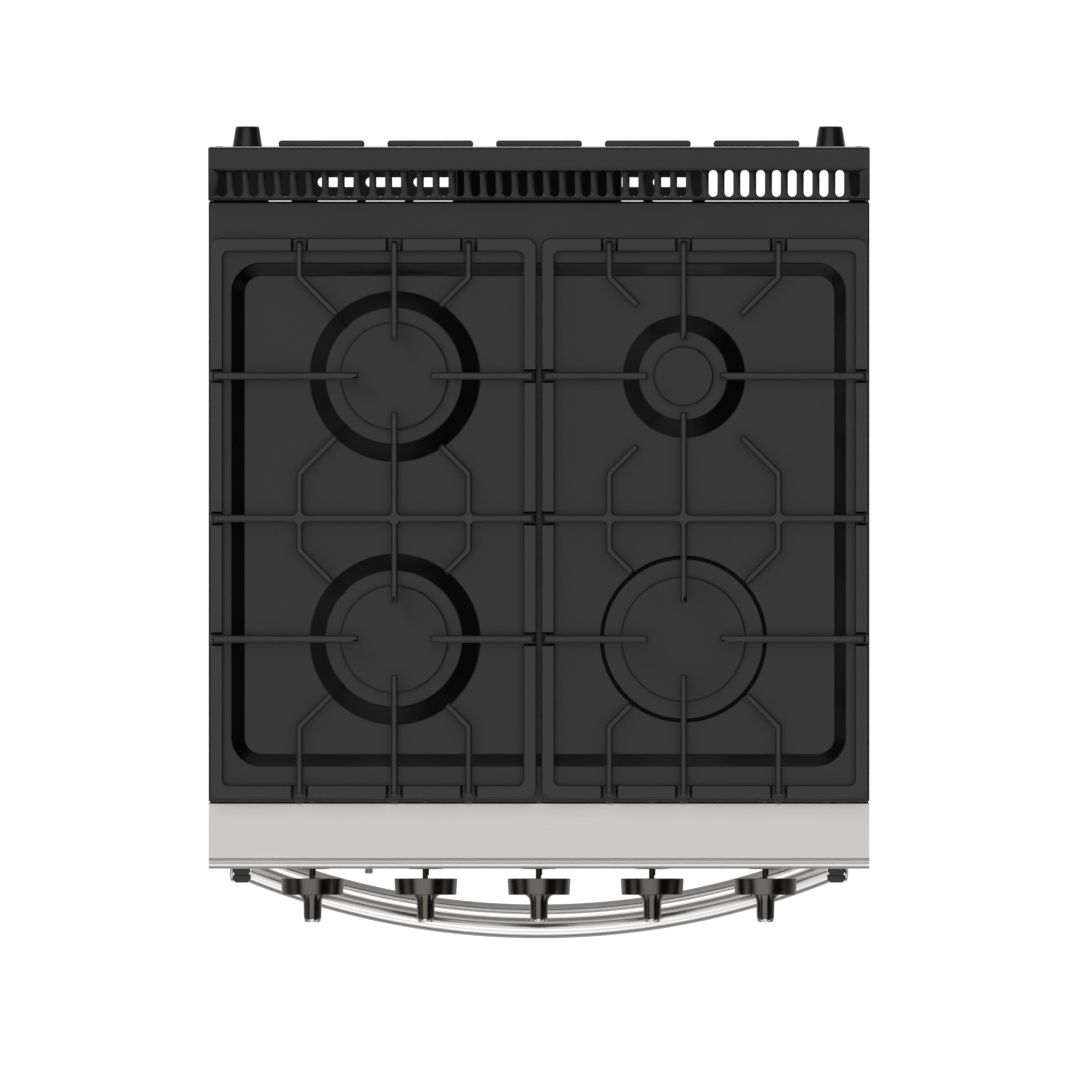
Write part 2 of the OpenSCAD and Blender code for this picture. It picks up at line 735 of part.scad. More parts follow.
module rack(z) {
    hw = 229;
    front_y = -247;
    rear_y = 160;
    rim_r = 3;
    wire_r = 2;
    color("#c8cacc") {
        sides() rod([hw, front_y, z], [hw, rear_y, z], rim_r);
        for (y = [front_y, rear_y]) rod([-hw, y, z], [hw, y, z], rim_r + 0.1);
        for (y = [-110, 25]) rod([-hw, y, z - 3.5], [hw, y, z - 3.5], rim_r - 0.3);
        for (k = [-8 : 8]) rod([k * 25, front_y, z + 1.6], [k * 25, rear_y, z + 1.6], wire_r);
        sides() translate([hw, rear_y, z]) cylinder(h = 5, r = rim_r + 0.2);
    }
}

module rack_upper() { rack(580); }
module rack_lower() { rack(440); }

// ---------- oven door ----------
module door_gasket() {
    y1 = frame_y - 2 - 1.2;
    color("#55524c") difference() {
        box(-252, 252, y1 - 2.6, y1, 266, 730);
        box(-243, 243, y1 - 10, y1 + 10, 270, 721);
    }
}

module hinge_notch() {
    sides() box(hinge_x - 6, hinge_x + 6, door_y + 2, door_back_y + cut, door_z0 - cut, hinge_z + 11);
}

module door_shell() {
    hw = side_hw;
    color("#c9c6c2") difference() {
        box(-hw, hw, door_y, door_back_y - sheet, door_z0, door_z1);
        box(-hw + sheet, hw - sheet, door_y + sheet, door_back_y + cut, door_z0 + sheet, door_z1 - sheet);
        box(-190, 190, door_y - cut, door_y + 3, 330, 640);
        for (x = [-1, 1]) for (k = [0 : 9])
            slot_x(x * (60 + k * 18), (door_y + door_back_y) / 2, 10, 4, door_z1 - 5, 10);
        hinge_notch();
    }
}

module door_outer_glass() {
    color([0.05, 0.05, 0.06, 0.5])
        box(-205, 205, door_y + sheet, door_y + sheet + 4, 315, 655);
}

module door_inner_panel() {
    hw = side_hw - 2;
    color("#23252a") difference() {
        union() {
            box(-hw, hw, door_back_y - sheet, door_back_y, door_z0 + 2, door_z1 - 2);
            box(-215, 215, door_back_y - 12, door_back_y - sheet, 305, 665);
        }
        box(-213.8, 213.8, door_back_y - 10.8, door_back_y + cut, 306.2, 663.8);
        box(-180, 180, door_back_y - 20, door_back_y + cut, 335, 635);
        hinge_notch();
    }
}

module door_inner_glass() {
    color([0.6, 0.65, 0.66, 0.4])
        box(-195, 195, door_back_y - 10.8, door_back_y - 6.8, 320, 650);
}

module bowed_tube(tip_y, z) {
    hollow_r = tube_r - 1.2;
    translate([0, tip_y + bow_r, z]) intersection() {
        rotate([0, 0, -90 - 24]) rotate_extrude(angle = 48, $fn = 180) translate([bow_r, 0]) difference() {
            circle(r = tube_r);
            circle(r = hollow_r);
        }
        box(-mount_x0, mount_x0, -bow_r - 40, 0, -40, 40);
    }
}

module bar_mounts(face_y, tip_y, z) {
    base = tip_y + 51.3;
    mid_x = (mount_x0 + mount_x1) / 2;
    color("#1b1b1b") sides() {
        box(mount_x0, mount_x1, base, face_y, z - 13, z + 13);
        box(mount_x0 + 1, mount_x1 - 1, base - 2, base, z - 12, z + 12);
        translate([0, 0, z - 13]) linear_extrude(26) polygon([
            [mount_x0, base - 2], [mount_x0, base - 6.6], [mount_x0 + 2.6, base - 9],
            [mount_x1 - 2.6, base - 9], [mount_x1, base - 6.6], [mount_x1, base - 2]]);
    }
}

module door_handle() { color("#cfcfce") bowed_tube(bow_tip_y, door_handle_z); }
module door_handle_mounts() { bar_mounts(door_y, bow_tip_y, door_handle_z); }

module door_hinge_bodies() {
    pin_r = 3;
    color("#9b9da0") sides() {
        box(hinge_x - 10, hinge_x - 7, hinge_y - 7, door_back_y - 2, hinge_z - 6, hinge_z + 80);
        box(hinge_x + 7, hinge_x + 10, hinge_y - 7, door_back_y - 2, hinge_z - 6, hinge_z + 80);
        box(hinge_x - 7, hinge_x + 7, hinge_y - 7, hinge_y - 4, hinge_z + 30, hinge_z + 80);
        translate([hinge_x - 9, hinge_y, hinge_z]) rotate([0, 90, 0]) cylinder(h = 18, r = pin_r);
    }
}

module door_hinge_arms() {
    pin_r = 3;
    color("#85888b") sides() difference() {
        union() {
            box(hinge_x - 3, hinge_x + 3, hinge_y, -225, hinge_z - 5, hinge_z + 5);
            translate([hinge_x - 3, hinge_y, hinge_z]) rotate([0, 90, 0]) cylinder(h = 6, r = 5.5);
            box(hinge_x - 3, hinge_x + 3, -235, -225, hinge_z - 16, hinge_z);
        }
        translate([hinge_x - 5, hinge_y, hinge_z]) rotate([0, 90, 0]) cylinder(h = 10, r = pin_r + run_gap);
    }
}

// ---------- lower drawer ----------
module drawer_front() {
    hw = side_hw;
    color("#c9c6c2") difference() {
        box(-hw, hw, drawer_y, drawer_back_y, drawer_z0, drawer_z1);
        box(-hw + sheet, hw - sheet, drawer_y + sheet, drawer_back_y + cut,
            drawer_z0 + sheet, drawer_z1 - sheet);
    }
}

module drawer_box() {
    hw = 264;
    z0 = 70;
    z1 = 200;
    color("#3a3c3e") {
        difference() {
            box(-hw, hw, drawer_y + sheet, 225, z0, z1);
            box(-hw + sheet, hw - sheet, drawer_y + 2 * sheet, 225 - sheet, z0 + sheet, z1 + cut);
        }
        sides() box(hw, hw + 6.5, -230, 220, 123.6, 127);
    }
}

module drawer_handle() {
    color("#cfcfce") bowed_tube(bow_tip_y + drawer_handle_setback, drawer_handle_z);
}

module drawer_handle_mounts() {
    bar_mounts(drawer_y, bow_tip_y + drawer_handle_setback, drawer_handle_z);
}

// ---------- fasteners ----------
module screw_head() {
    difference() {
        union() {
            cylinder(h = 2.2, r1 = 4, r2 = 3);
            translate([0, 0, -5]) cylinder(h = 5.01, r = screw_r);
        }
        for (a = [0, 90]) rotate([0, 0, a]) box(-2.2, 2.2, -0.4, 0.4, 1.2, 3.2);
    }
}

module screws() {
    color("#77797b") {
        sides() for (z = BACK_SCREW_Z)
            translate([back_screw_x, back_y + 1, z]) rotate([-90, 0, 0]) screw_head();
        sides() for (z = LINER_SCREW_Z)
            translate([liner_screw_x, frame_y - 3.2, z]) rotate([90, 0, 0]) screw_head();
    }
}

side_panel_left();
side_panel_right();
back_panel();
rear_louvres();
rear_bumpers();
base_pan();
chassis_frame();
levelling_feet();
cooktop();
backguard();
flue_duct();
control_panel();
knob_bezels();
screws();
gas_manifold();
gas_pipes();
valve_spindle(1);  // valve_spindle_1
valve_spindle(2);  // valve_spindle_2
valve_spindle(3);  // valve_spindle_3
valve_spindle(4);  // valve_spindle_4
valve_spindle(5);  // valve_spindle_5
knob(1);  // knob_1
knob(2);  // knob_2
knob(3);  // knob_3
knob(4);  // knob_4
knob(5);  // knob_5
igniter_button();
burner_cups();
burner_head_rear_left();
burner_head_rear_right();
burner_head_front_left();
burner_head_front_right();
burner_cap_rear_left();
burner_cap_rear_right();
burner_cap_front_left();
burner_cap_front_right();
burner_electrodes();
grate_left();
grate_right();
grate_feet_left();
grate_feet_right();
oven_liner();
oven_insulation();
oven_floor_plate();
oven_burner();
rack_upper();
rack_lower();
door_gasket();
door_shell();
door_outer_glass();
door_inner_panel();
door_inner_glass();
door_handle();
door_handle_mounts();
door_hinge_bodies();
door_hinge_arms();
drawer_front();
drawer_box();
drawer_handle();
drawer_handle_mounts();
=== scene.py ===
"""Looks of a freestanding gas range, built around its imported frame.

Every sub-assembly is a class. Its fields are the sizes of the real parts in millimetres, and its
methods build the meshes and dress them. The frame's own solids stay wherever their shape is right.
"""

from __future__ import annotations

import json
import logging
import math
from dataclasses import dataclass
from enum import Enum
from typing import Callable, Iterable, Sequence

import bmesh
import bpy
from mathutils import Matrix, Vector
from mathutils.geometry import delaunay_2d_cdt

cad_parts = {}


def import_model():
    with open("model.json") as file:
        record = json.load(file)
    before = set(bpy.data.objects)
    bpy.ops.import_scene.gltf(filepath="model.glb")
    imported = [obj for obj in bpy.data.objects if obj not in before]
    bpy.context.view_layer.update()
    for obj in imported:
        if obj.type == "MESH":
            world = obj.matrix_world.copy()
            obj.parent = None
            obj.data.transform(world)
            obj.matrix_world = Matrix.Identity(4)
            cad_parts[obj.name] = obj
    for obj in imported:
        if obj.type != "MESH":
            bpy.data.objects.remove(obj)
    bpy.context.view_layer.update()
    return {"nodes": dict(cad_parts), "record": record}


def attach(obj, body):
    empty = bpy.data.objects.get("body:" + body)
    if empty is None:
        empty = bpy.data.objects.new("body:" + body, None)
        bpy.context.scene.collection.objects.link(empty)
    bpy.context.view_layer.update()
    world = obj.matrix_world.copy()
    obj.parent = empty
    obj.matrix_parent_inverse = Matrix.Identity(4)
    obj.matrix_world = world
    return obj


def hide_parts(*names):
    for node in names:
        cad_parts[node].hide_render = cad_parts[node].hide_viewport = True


LOG = logging.getLogger("range")

Point2 = tuple[float, float]
Point3 = tuple[float, float, float]
Color = tuple[float, float, float]
Outline = list[Point2]
Filled = tuple[list[Point2], list[tuple[int, ...]]]
Place = Callable[[float, float, float], Point3]
Socket = bpy.types.NodeSocket
Value = Socket | float | tuple[float, ...]

MM = 0.001
PANEL_FACE = -309.4
KNOB_HEIGHT = 820.0


# ---------------------------------------------------------------- outlines


def turned_left(loop: Outline) -> Outline:
    """The same outline, running counterclockwise."""
    area = sum(a[0] * b[1] - b[0] * a[1] for a, b in zip(loop, loop[1:] + loop[:1]))
    return list(loop) if area > 0 else list(reversed(loop))


def turned_right(loop: Outline) -> Outline:
    """The same outline, running clockwise."""
    return list(reversed(turned_left(loop)))


def circle(cx: float, cy: float, radius: float, count: int = 64) -> Outline:
    """A circle as a counterclockwise outline."""
    turn = 2 * math.pi / count
    return [(cx + radius * math.cos(i * turn), cy + radius * math.sin(i * turn)) for i in range(count)]


def quarter(steps: int) -> list[Point2]:
    """The sine and cosine at equal steps of a quarter turn."""
    return [(math.sin(a), math.cos(a)) for a in (math.pi / 2 * k / steps for k in range(steps + 1))]


def rounded_rect(x0: float, x1: float, y0: float, y1: float, radius: float, steps: int = 8) -> Outline:
    """A rectangle with rounded corners.

    Args:
        x0, x1, y0, y1: Its sides.
        radius: Corner radius.
        steps: Segments in each corner.

    Returns:
        A counterclockwise outline of 4 * (steps + 1) points.
    """
    out: Outline = []
    centres = ((x1 - radius, y1 - radius), (x0 + radius, y1 - radius),
               (x0 + radius, y0 + radius), (x1 - radius, y0 + radius))
    for k, (cx, cy) in enumerate(centres):
        for i in range(steps + 1):
            a = math.pi / 2 * (k + i / steps)
            out.append((cx + radius * math.cos(a), cy + radius * math.sin(a)))
    return out


def slot_outline(cx: float, cy: float, length: float, width: float) -> Outline:
    """A slot along y with round ends."""
    return rounded_rect(cx - width / 2, cx + width / 2, cy - length / 2, cy + length / 2, width / 2 - 0.01, 6)


def inset(loop: Outline, distance: float) -> Outline:
    """Moves an outline towards its left side, mitred at its corners.

    Args:
        loop: The outline, with the material on its left.
        distance: How far to move it.

    Returns:
        An outline with as many points.
    """
    out: Outline = []
    count = len(loop)
    for i, (x, y) in enumerate(loop):
        ax, ay = x - loop[i - 1][0], y - loop[i - 1][1]
        bx, by = loop[(i + 1) % count][0] - x, loop[(i + 1) % count][1] - y
        la, lb = math.hypot(ax, ay) or 1.0, math.hypot(bx, by) or 1.0
        nx, ny = -ay / la - by / lb, ax / la + bx / lb
        scale = 1 + (ax * bx + ay * by) / (la * lb)
        scale = max(scale, 0.3)
        out.append((x + nx * distance / scale, y + ny * distance / scale))
    return out


def corner(before: Point2, here: Point2, after: Point2, radii: Point2, least: float,
           steps: int = 0) -> Outline:
    """Rounds one corner of a path.

    Args:
        before, here, after: The corner between its neighbours.
        radii: Radius where the path turns left, and where it turns right.
        least: A turn of less than this, in radians, stays as it is.
        steps: Segments of the arc, or 0 for as many as its turn needs.

    Returns:
        The points of the arc, or the corner itself.
    """
    a, b = Vector(here) - Vector(before), Vector(after) - Vector(here)
    turn = math.atan2(a.x * b.y - a.y * b.x, a.dot(b))
    radius = radii[0] if turn > 0 else radii[1]
    if abs(turn) < least or radius <= 0:
        return [here]
    reach = min(radius * math.tan(abs(turn) / 2), a.length * 0.45, b.length * 0.45)
    normal = Vector((-a.y, a.x)).normalized() * math.copysign(reach / math.tan(abs(turn) / 2), turn)
    centre = Vector(here) - a.normalized() * reach + normal
    steps = steps or max(2, math.ceil(abs(turn) / 0.3))
    arc: Outline = []
    for k in range(steps + 1):
        spoke = -normal
        spoke.rotate(Matrix.Rotation(turn * k / steps, 2))
        arc.append(tuple(centre + spoke))
    return arc


def softened(loop: Outline, outer: float, inner: float) -> Outline:
    """Rounds the corners of an outline that has its material on its left.

    Args:
        loop: The outline.
        outer: Radius where it turns left, an outside corner.
        inner: Radius where it turns right, an inside corner.

    Returns:
        The outline with an arc at each corner.
    """
    around = zip(loop[-1:] + loop[:-1], loop, loop[1:] + loop[:1])
    return [p for a, b, c in around for p in corner(a, b, c, (outer, inner), 0.08)]


def divided(a: Point2, b: Point2, parts: int) -> Outline:
    """Points from a towards b in equal steps, without b itself."""
    return [(a[0] + (b[0] - a[0]) * k / parts, a[1] + (b[1] - a[1]) * k / parts) for k in range(parts)]


def stepped(loop: Outline, step: float) -> Outline:
    """The same outline with extra points, so that no side is longer than step."""
    sides = zip(loop, loop[1:] + loop[:1])
    return [p for a, b in sides for p in divided(a, b, max(1, math.ceil(math.dist(a, b) / step)))]


def triangles(outers: Sequence[Outline], holes: Sequence[Outline]) -> Filled:
    """Fills the region inside outers and outside holes.

    Args:
        outers: Outlines of the material. They may overlap.
        holes: Outlines cut out of it.

    Returns:
        The points, and triangles as indices into them.
    """
    points: list[Vector] = []
    faces: list[list[int]] = []
    for loop in (*outers, *holes):
        faces.append(list(range(len(points), len(points) + len(loop))))
        points.extend(Vector(p) for p in turned_left(list(loop)))
    verts, _, tris, _, _, owners = delaunay_2d_cdt(points, [], faces, 1, 1e-5)
    solid = len(outers)
    kept = [tuple(t) for t, own in zip(tris, owners) if own and all(o < solid for o in own)]
    return [(v.x, v.y) for v in verts], kept


def joined(shapes: Sequence[Outline]) -> list[Outline]:
    """The outlines of several overlapping shapes taken as one.

    Args:
        shapes: Closed outlines.

    Returns:
        Outlines with the material on their left: outside ones counterclockwise, windows clockwise.
    """
    points, tris = triangles(shapes, [])
    sides: set[tuple[int, int]] = set()
    for t in tris:
        corners = [points[i] for i in t]
        t = t if turned_left(corners) == corners else tuple(reversed(t))
        sides.update((t[k], t[(k + 1) % 3]) for k in range(3))
    follow = {a: b for a, b in sides if (b, a) not in sides}
    loops: list[Outline] = []
    while follow:
        start, here = next(iter(sorted(follow.items())))
        del follow[start]
        chain = [start]
        while here != start:
            chain.append(here)
            here = follow.pop(here)
        loop = [points[i] for i in chain]
        loops.append([p for i, p in enumerate(loop) if bends(loop, i)])
    return loops


def bends(loop: Outline, i: int) -> bool:
    """True if the outline changes direction at point i."""
    a = Vector(loop[i]) - Vector(loop[i - 1])
    b = Vector(loop[(i + 1) % len(loop)]) - Vector(loop[i])
    return abs(a.x * b.y - a.y * b.x) > 1e-4 * a.length * b.length


# ---------------------------------------------------------------- meshes


class Shape:
    """Vertices in millimetres and faces that are being put together into one mesh."""

    def __init__(self) -> None:
        """Starts empty."""
        self.verts: list[Point3] = []
        self.faces: list[tuple[int, ...]] = []

    def ring(self, points: Iterable[Sequence[float]]) -> list[int]:
        """Adds points and returns their numbers."""
        start = len(self.verts)
        self.verts.extend((float(p[0]), float(p[1]), float(p[2])) for p in points)
        return list(range(start, len(self.verts)))

    def loft(self, rings: Sequence[Sequence[Sequence[float]]], closed: bool = True, cap: bool = True) -> None:
        """Skins a row of rings that have equal numbers of points.

        Args:
            rings: The rings, in order.
            closed: Whether each ring joins up with itself.
            cap: Whether the first and last rings are closed with a face.
        """
        made = [self.ring(r) for r in rings]
        for a, b in zip(made, made[1:]):
            for i in range(len(a) if closed else len(a) - 1):
                j = (i + 1) % len(a)
                self.faces.append((a[i], a[j], b[j], b[i]))
        if cap:
            self.faces.append(tuple(reversed(made[0])))
            self.faces.append(tuple(made[-1]))

    def fill(self, outers: Sequence[Outline], holes: Sequence[Outline], place: Place,
             level: float = 0.0) -> None:
        """Closes the flat region between outlines.

        Args:
            outers: Outlines of the material.
            holes: Outlines cut out of it.
            place: Gives the position of a point (u, v, level).
            level: The third coordinate handed to place.
        """
        points, tris = triangles(outers, holes)
        base = len(self.verts)
        self.ring(place(u, v, level) for u, v in points)
        self.faces.extend(tuple(base + i for i in t) for t in tris)

    def slab(self, outers: Sequence[Outline], holes: Sequence[Outline], low: float, high: float,
             edge: float, place: Place) -> None:
        """Adds a flat piece with rounded edges.

        Args:
            outers: Its outside outlines.
            holes: Its windows.
            low, high: Its two faces.
            edge: Radius of its edges.
            place: Gives the position of a point (u, v, w).
        """
        levels = [(edge * (1 - sine), low + edge * (1 - cosine)) for sine, cosine in quarter(3)]
        levels += [(edge * (1 - cosine), high - edge * (1 - sine)) for sine, cosine in quarter(3)]
        loops = [turned_left(o) for o in outers] + [turned_right(h) for h in holes]
        for loop in loops:
            self.loft([[place(u, v, w) for u, v in inset(loop, d)] for d, w in levels], cap=False)
        outer_in = [inset(loop, edge) for loop in loops[:len(outers)]]
        holes_in = [inset(loop, edge) for loop in loops[len(outers):]]
        for level in (low, high):
            self.fill(outer_in, holes_in, place, level)

    def lathe(self, profile: Sequence[Point2], place: Place, count: int = 64, cap: bool = True) -> None:
        """Turns a profile of (radius, height) points about the w axis."""
        thinnest = 1e-4
        rings = [[place(u, v, w) for u, v in circle(0, 0, max(r, thinnest), count)] for r, w in profile]
        self.loft(rings, cap=cap)

    def sweep(self, path: Sequence[Vector], section: Outline, up: Vector) -> None:
        """Carries a section along a path.

        Args:
            path: Points of the path.
            section: Outline across the path: sideways and up.
            up: A direction that the path never takes.
        """
        rings = []
        for i, p in enumerate(path):
            along = (path[min(i + 1, len(path) - 1)] - path[max(i - 1, 0)]).normalized()
            side = along.cross(up).normalized()
            rise = side.cross(along)
            rings.append([p + side * u + rise * v for u, v in section])
        self.loft(rings)

    def block(self, x0: float, x1: float, y0: float, y1: float, z0: float, z1: float, edge: float) -> None:
        """Adds a block with rounded corners and edges."""
        self.slab([rounded_rect(x0, x1, y0, y1, edge, 3)], [], z0, z1, edge * 0.9, flat)

    def add(self, other: "Shape", matrix: Matrix | None = None) -> None:
        """Adds a copy of another shape.

        Args:
            other: The shape.
            matrix: How the copy is moved, if it is.
        """
        base = len(self.verts)
        move = matrix or Matrix.Identity(4)
        self.ring(move @ Vector(v) for v in other.verts)
        self.faces.extend(tuple(base + i for i in f) for f in other.faces)

    def placed(self, matrix: Matrix) -> "Shape":
        """A copy of the shape, moved by matrix."""
        copy = Shape()
        copy.add(self, matrix)
        return copy

    def bent(self, change: Callable[[float, float, float], Point3]) -> None:
        """Moves every vertex as change says."""
        self.verts = [change(*v) for v in self.verts]

    def mesh(self, name: str, outward: Vector | None) -> bpy.types.Mesh:
        """Makes the mesh, in metres.

        Args:
            name: Name of the mesh.
            outward: For an open sheet, the side that its faces should look to.

        Returns:
            A clean mesh with its faces turned outward.
        """
        bm = bmesh.new()
        made = [bm.verts.new(v) for v in self.verts]
        for f in self.faces:
            try:
                bm.faces.new([made[i] for i in f])
            except ValueError:
                continue
        bmesh.ops.remove_doubles(bm, verts=bm.verts, dist=0.004)
        bmesh.ops.dissolve_degenerate(bm, edges=bm.edges, dist=0.002)
        bmesh.ops.delete(bm, geom=[v for v in bm.verts if not v.link_faces], context="VERTS")
        bmesh.ops.recalc_face_normals(bm, faces=bm.faces)
        if outward is not None and sum(f.normal.dot(outward) * f.calc_area() for f in bm.faces) < 0:
            bmesh.ops.reverse_faces(bm, faces=bm.faces)
        bmesh.ops.scale(bm, vec=(MM, MM, MM), verts=bm.verts)
        mesh = bpy.data.meshes.new(name)
        bm.to_mesh(mesh)
        bm.free()
        return mesh


def flat(u: float, v: float, w: float) -> Point3:
    """Places a piece that lies flat, as seen from above."""
    return (u, v, w)


def upright(u: float, v: float, w: float) -> Point3:
    """Places a piece that stands facing the front: u to the right, v up and w towards the front."""
    return (u, -w, v)


def centred(x: float, y: float, z: float) -> Place:
    """Places a turned piece with its axis upright at (x, y), starting from height z."""
    return lambda u, v, w: (x + u, y + v, z + w)


def on_face(x: float) -> Matrix:
    """The frame of a control: its z axis points out of the panel face and its y axis up."""
    return Matrix.Translation((x, PANEL_FACE, KNOB_HEIGHT)) @ Matrix.Rotation(math.pi / 2, 4, "X")


# ---------------------------------------------------------------- finishes


class Slot(Enum):
    """The material slots of the part, by the names in its record."""

    BLACK_ENAMEL = "black_enamel"
    CAVITY_ENAMEL = "cavity_enamel"
    STAINLESS = "stainless"
    HANDLE_STEEL = "handle_steel"
    GALVANISED = "galvanised"
    BLACK_PAINT = "black_paint"
    CAST_IRON = "cast_iron"
    CAP_ENAMEL = "cap_enamel"
    ALUMINIUM = "aluminium"
    PIPE_METAL = "pipe_metal"
    BURNER_STEEL = "burner_steel"
    CHROME_WIRE = "chrome_wire"
    BLACK_NICKEL = "black_nickel"
    SPINDLE_BLACK = "spindle_black"
    BEZEL_STEEL = "bezel_steel"
    RUBBER = "rubber"
    BLACK_PLASTIC = "black_plastic"
    BUTTON_PLASTIC = "button_plastic"
    ZINC_STEEL = "zinc_steel"
    TINTED_GLASS = "tinted_glass"
    CLEAR_GLASS = "clear_glass"
    GLASS_WOOL = "glass_wool"
    GLASS_BRAID = "glass_braid"
    CERAMIC = "ceramic"


class Nodes:
    """A tree of nodes, with short ways to add and join them."""

    def __init__(self, tree: bpy.types.NodeTree) -> None:
        """Takes the tree to work on."""
        self.tree = tree

    def put(self, target: Socket, value: Value) -> None:
        """Joins a socket to a pattern, or sets it to a plain value.

        Args:
            target: The socket.
            value: What goes into it.
        """
        if isinstance(value, Socket):
            self.tree.links.new(value, target)
        else:
            target.default_value = value

    def add(self, kind: str, inputs: dict[str | int, Value], **settings: str) -> bpy.types.Node:
        """Adds a node.

        Args:
            kind: Its type, without the prefix that all types share.
            inputs: What goes into its sockets, by their names or numbers.
            **settings: Its other choices.

        Returns:
            The node.
        """
        node = self.tree.nodes.new("ShaderNode" + kind)
        for name, choice in settings.items():
            setattr(node, name, choice)
        for key, value in inputs.items():
            self.put(node.inputs[key], value)
        return node

    def math(self, operation: str, a: Value, b: Value) -> Socket:
        """Combines two values."""
        return self.add("Math", {0: a, 1: b}, operation=operation).outputs[0]

    def remap(self, source: Socket, from_low: float, from_high: float, low: float, high: float,
              curve: str = "LINEAR") -> Socket:
        """Stretches a range of values to another one and stops at its ends."""
        span = {"Value": source, "From Min": from_low, "From Max": from_high, "To Min": low, "To Max": high}
        return self.add("MapRange", span, interpolation_type=curve).outputs["Result"]


class Graph(Nodes):
    """A material's nodes."""

    def __init__(self, name: str) -> None:
        """Starts a material that has only its shader."""
        self.material = bpy.data.materials.new(name)
        self.material.use_nodes = True
        super().__init__(self.material.node_tree)
        self.shader = self.tree.nodes["Principled BSDF"]
        self.place = self.add("TexCoord", {}).outputs["Object"]

    def noise(self, scale: float, stretch: Point3 = (1, 1, 1), detail: float = 3.0) -> Socket:
        """A cloud pattern from 0 to 1, with that many features a metre."""
        place = self.add("Mapping", {"Vector": self.place, "Scale": stretch}).outputs["Vector"]
        return self.add("TexNoise", {"Vector": place, "Scale": scale, "Detail": detail}).outputs["Fac"]

    def cells(self, scale: float) -> Socket:
        """The distance to scattered points, with about that many a metre."""
        return self.add("TexVoronoi", {"Vector": self.place, "Scale": scale}).outputs["Distance"]

    def waves(self, scale: float, direction: str, distortion: float) -> Socket:
        """Bands across one axis, with that many a metre."""
        sockets = {"Vector": self.place, "Scale": scale, "Distortion": distortion}
        return self.add("TexWave", sockets, bands_direction=direction).outputs["Fac"]

    def blend(self, factor: Socket, a: Color | Socket, b: Color) -> Socket:
        """Goes from colour a to colour b as factor goes from 0 to 1."""
        start = (*a, 1) if isinstance(a, tuple) else a
        return self.add("Mix", {"Factor": factor, 6: start, 7: (*b, 1)}, data_type="RGBA").outputs[2]

    def relief(self, height: Socket, depth: float, strength: float) -> None:
        """Gives the surface a relief of that depth in metres."""
        bump = self.add("Bump", {"Strength": strength, "Distance": depth, "Height": height})
        self.feed("Normal", bump.outputs["Normal"])

    def feed(self, name: str, source: Socket) -> None:
        """Joins a pattern to one of the shader's sockets."""
        self.put(self.shader.inputs[name], source)

    def color(self) -> Socket:
        """The pattern that gives the shader its colour so far."""
        return self.shader.inputs["Base Color"].links[0].from_socket

    def hold(self, **values: Value) -> None:
        """Sets the shader's own sockets, named with _ for each space."""
        for name, value in values.items():
            self.shader.inputs[name.replace("_", " ")].default_value = value


@dataclass(frozen=True)
class Finish:
    """A surface whose colour, gloss and relief vary a little, as on a made thing.

    Fields give the two colours it varies between, its gloss and how much that varies, and the
    size, stretch and depth of its grain.
    """

    color: Color
    tint: Color
    roughness: float
    spread: float = 0.05
    metal: float = 0.0
    specular: float = 0.5
    patch: float = 9.0
    grain: float = 500.0
    stretch: Point3 = (1, 1, 1)
    depth: float = 0.00004
    strength: float = 0.25
    coat: float = 0.0

    def make(self, name: str) -> bpy.types.Material:
        """Builds the material.

        Args:
            name: Its name.

        Returns:
            The material.
        """
        graph = Graph(name)
        graph.hold(Metallic=self.metal, Specular_IOR_Level=self.specular, Coat_Weight=self.coat,
                   Coat_Roughness=0.08)
        patches = graph.noise(self.patch, detail=4)
        fine = self.texture(graph)
        graph.feed("Base Color", graph.blend(graph.remap(patches, 0.3, 0.7, 0, 1), self.color, self.tint))
        mixed = graph.math("MULTIPLY", graph.math("ADD", patches, fine), 0.5)
        graph.feed("Roughness", graph.remap(mixed, 0.3, 0.7, self.roughness - self.spread,
                                            self.roughness + self.spread))
        graph.relief(fine, self.depth, self.strength)
        self.trim(graph)
        return graph.material

    def texture(self, graph: Graph) -> Socket:
        """The fine pattern of the surface."""
        return graph.noise(self.grain, self.stretch, 3.0)

    def trim(self, graph: Graph) -> None:
        """Adds what only this kind of finish has."""


@dataclass(frozen=True)
class BrushedSteel(Finish):
    """Sheet steel brushed along x, which spreads reflections across the brushing."""

    spread_across: float = 0.6

    def trim(self, graph: Graph) -> None:
        """Turns the grain along x."""
        graph.hold(Anisotropic=self.spread_across)
        graph.feed("Tangent", graph.add("Tangent", {}, direction_type="RADIAL", axis="X").outputs[0])


@dataclass(frozen=True)
class SpeckledEnamel(Finish):
    """Oven enamel with small pale specks."""

    speck: Color = (0.42, 0.47, 0.55)

    def trim(self, graph: Graph) -> None:
        """Scatters the specks over the colour."""
        specks = graph.remap(graph.cells(330.0), 0.10, 0.16, 1, 0)
        rare = graph.remap(graph.noise(140.0), 0.50, 0.56, 0, 1)
        graph.feed("Base Color", graph.blend(graph.math("MULTIPLY", specks, rare), graph.color(), self.speck))


@dataclass(frozen=True)
class Braid(Finish):
    """A woven glass-fibre rope."""

    def texture(self, graph: Graph) -> Socket:
        """Two sets of slanting strands."""
        return graph.math("MAXIMUM", graph.waves(160.0, "DIAGONAL", 1.5), graph.noise(700.0, (1, 1, 3)))


@dataclass(frozen=True)
class Spangle(Finish):
    """Zinc-coated sheet with its crystal pattern."""

    def texture(self, graph: Graph) -> Socket:
        """Flat crystals a centimetre or so across."""
        return graph.math("ADD", graph.cells(90.0), graph.noise(500.0))


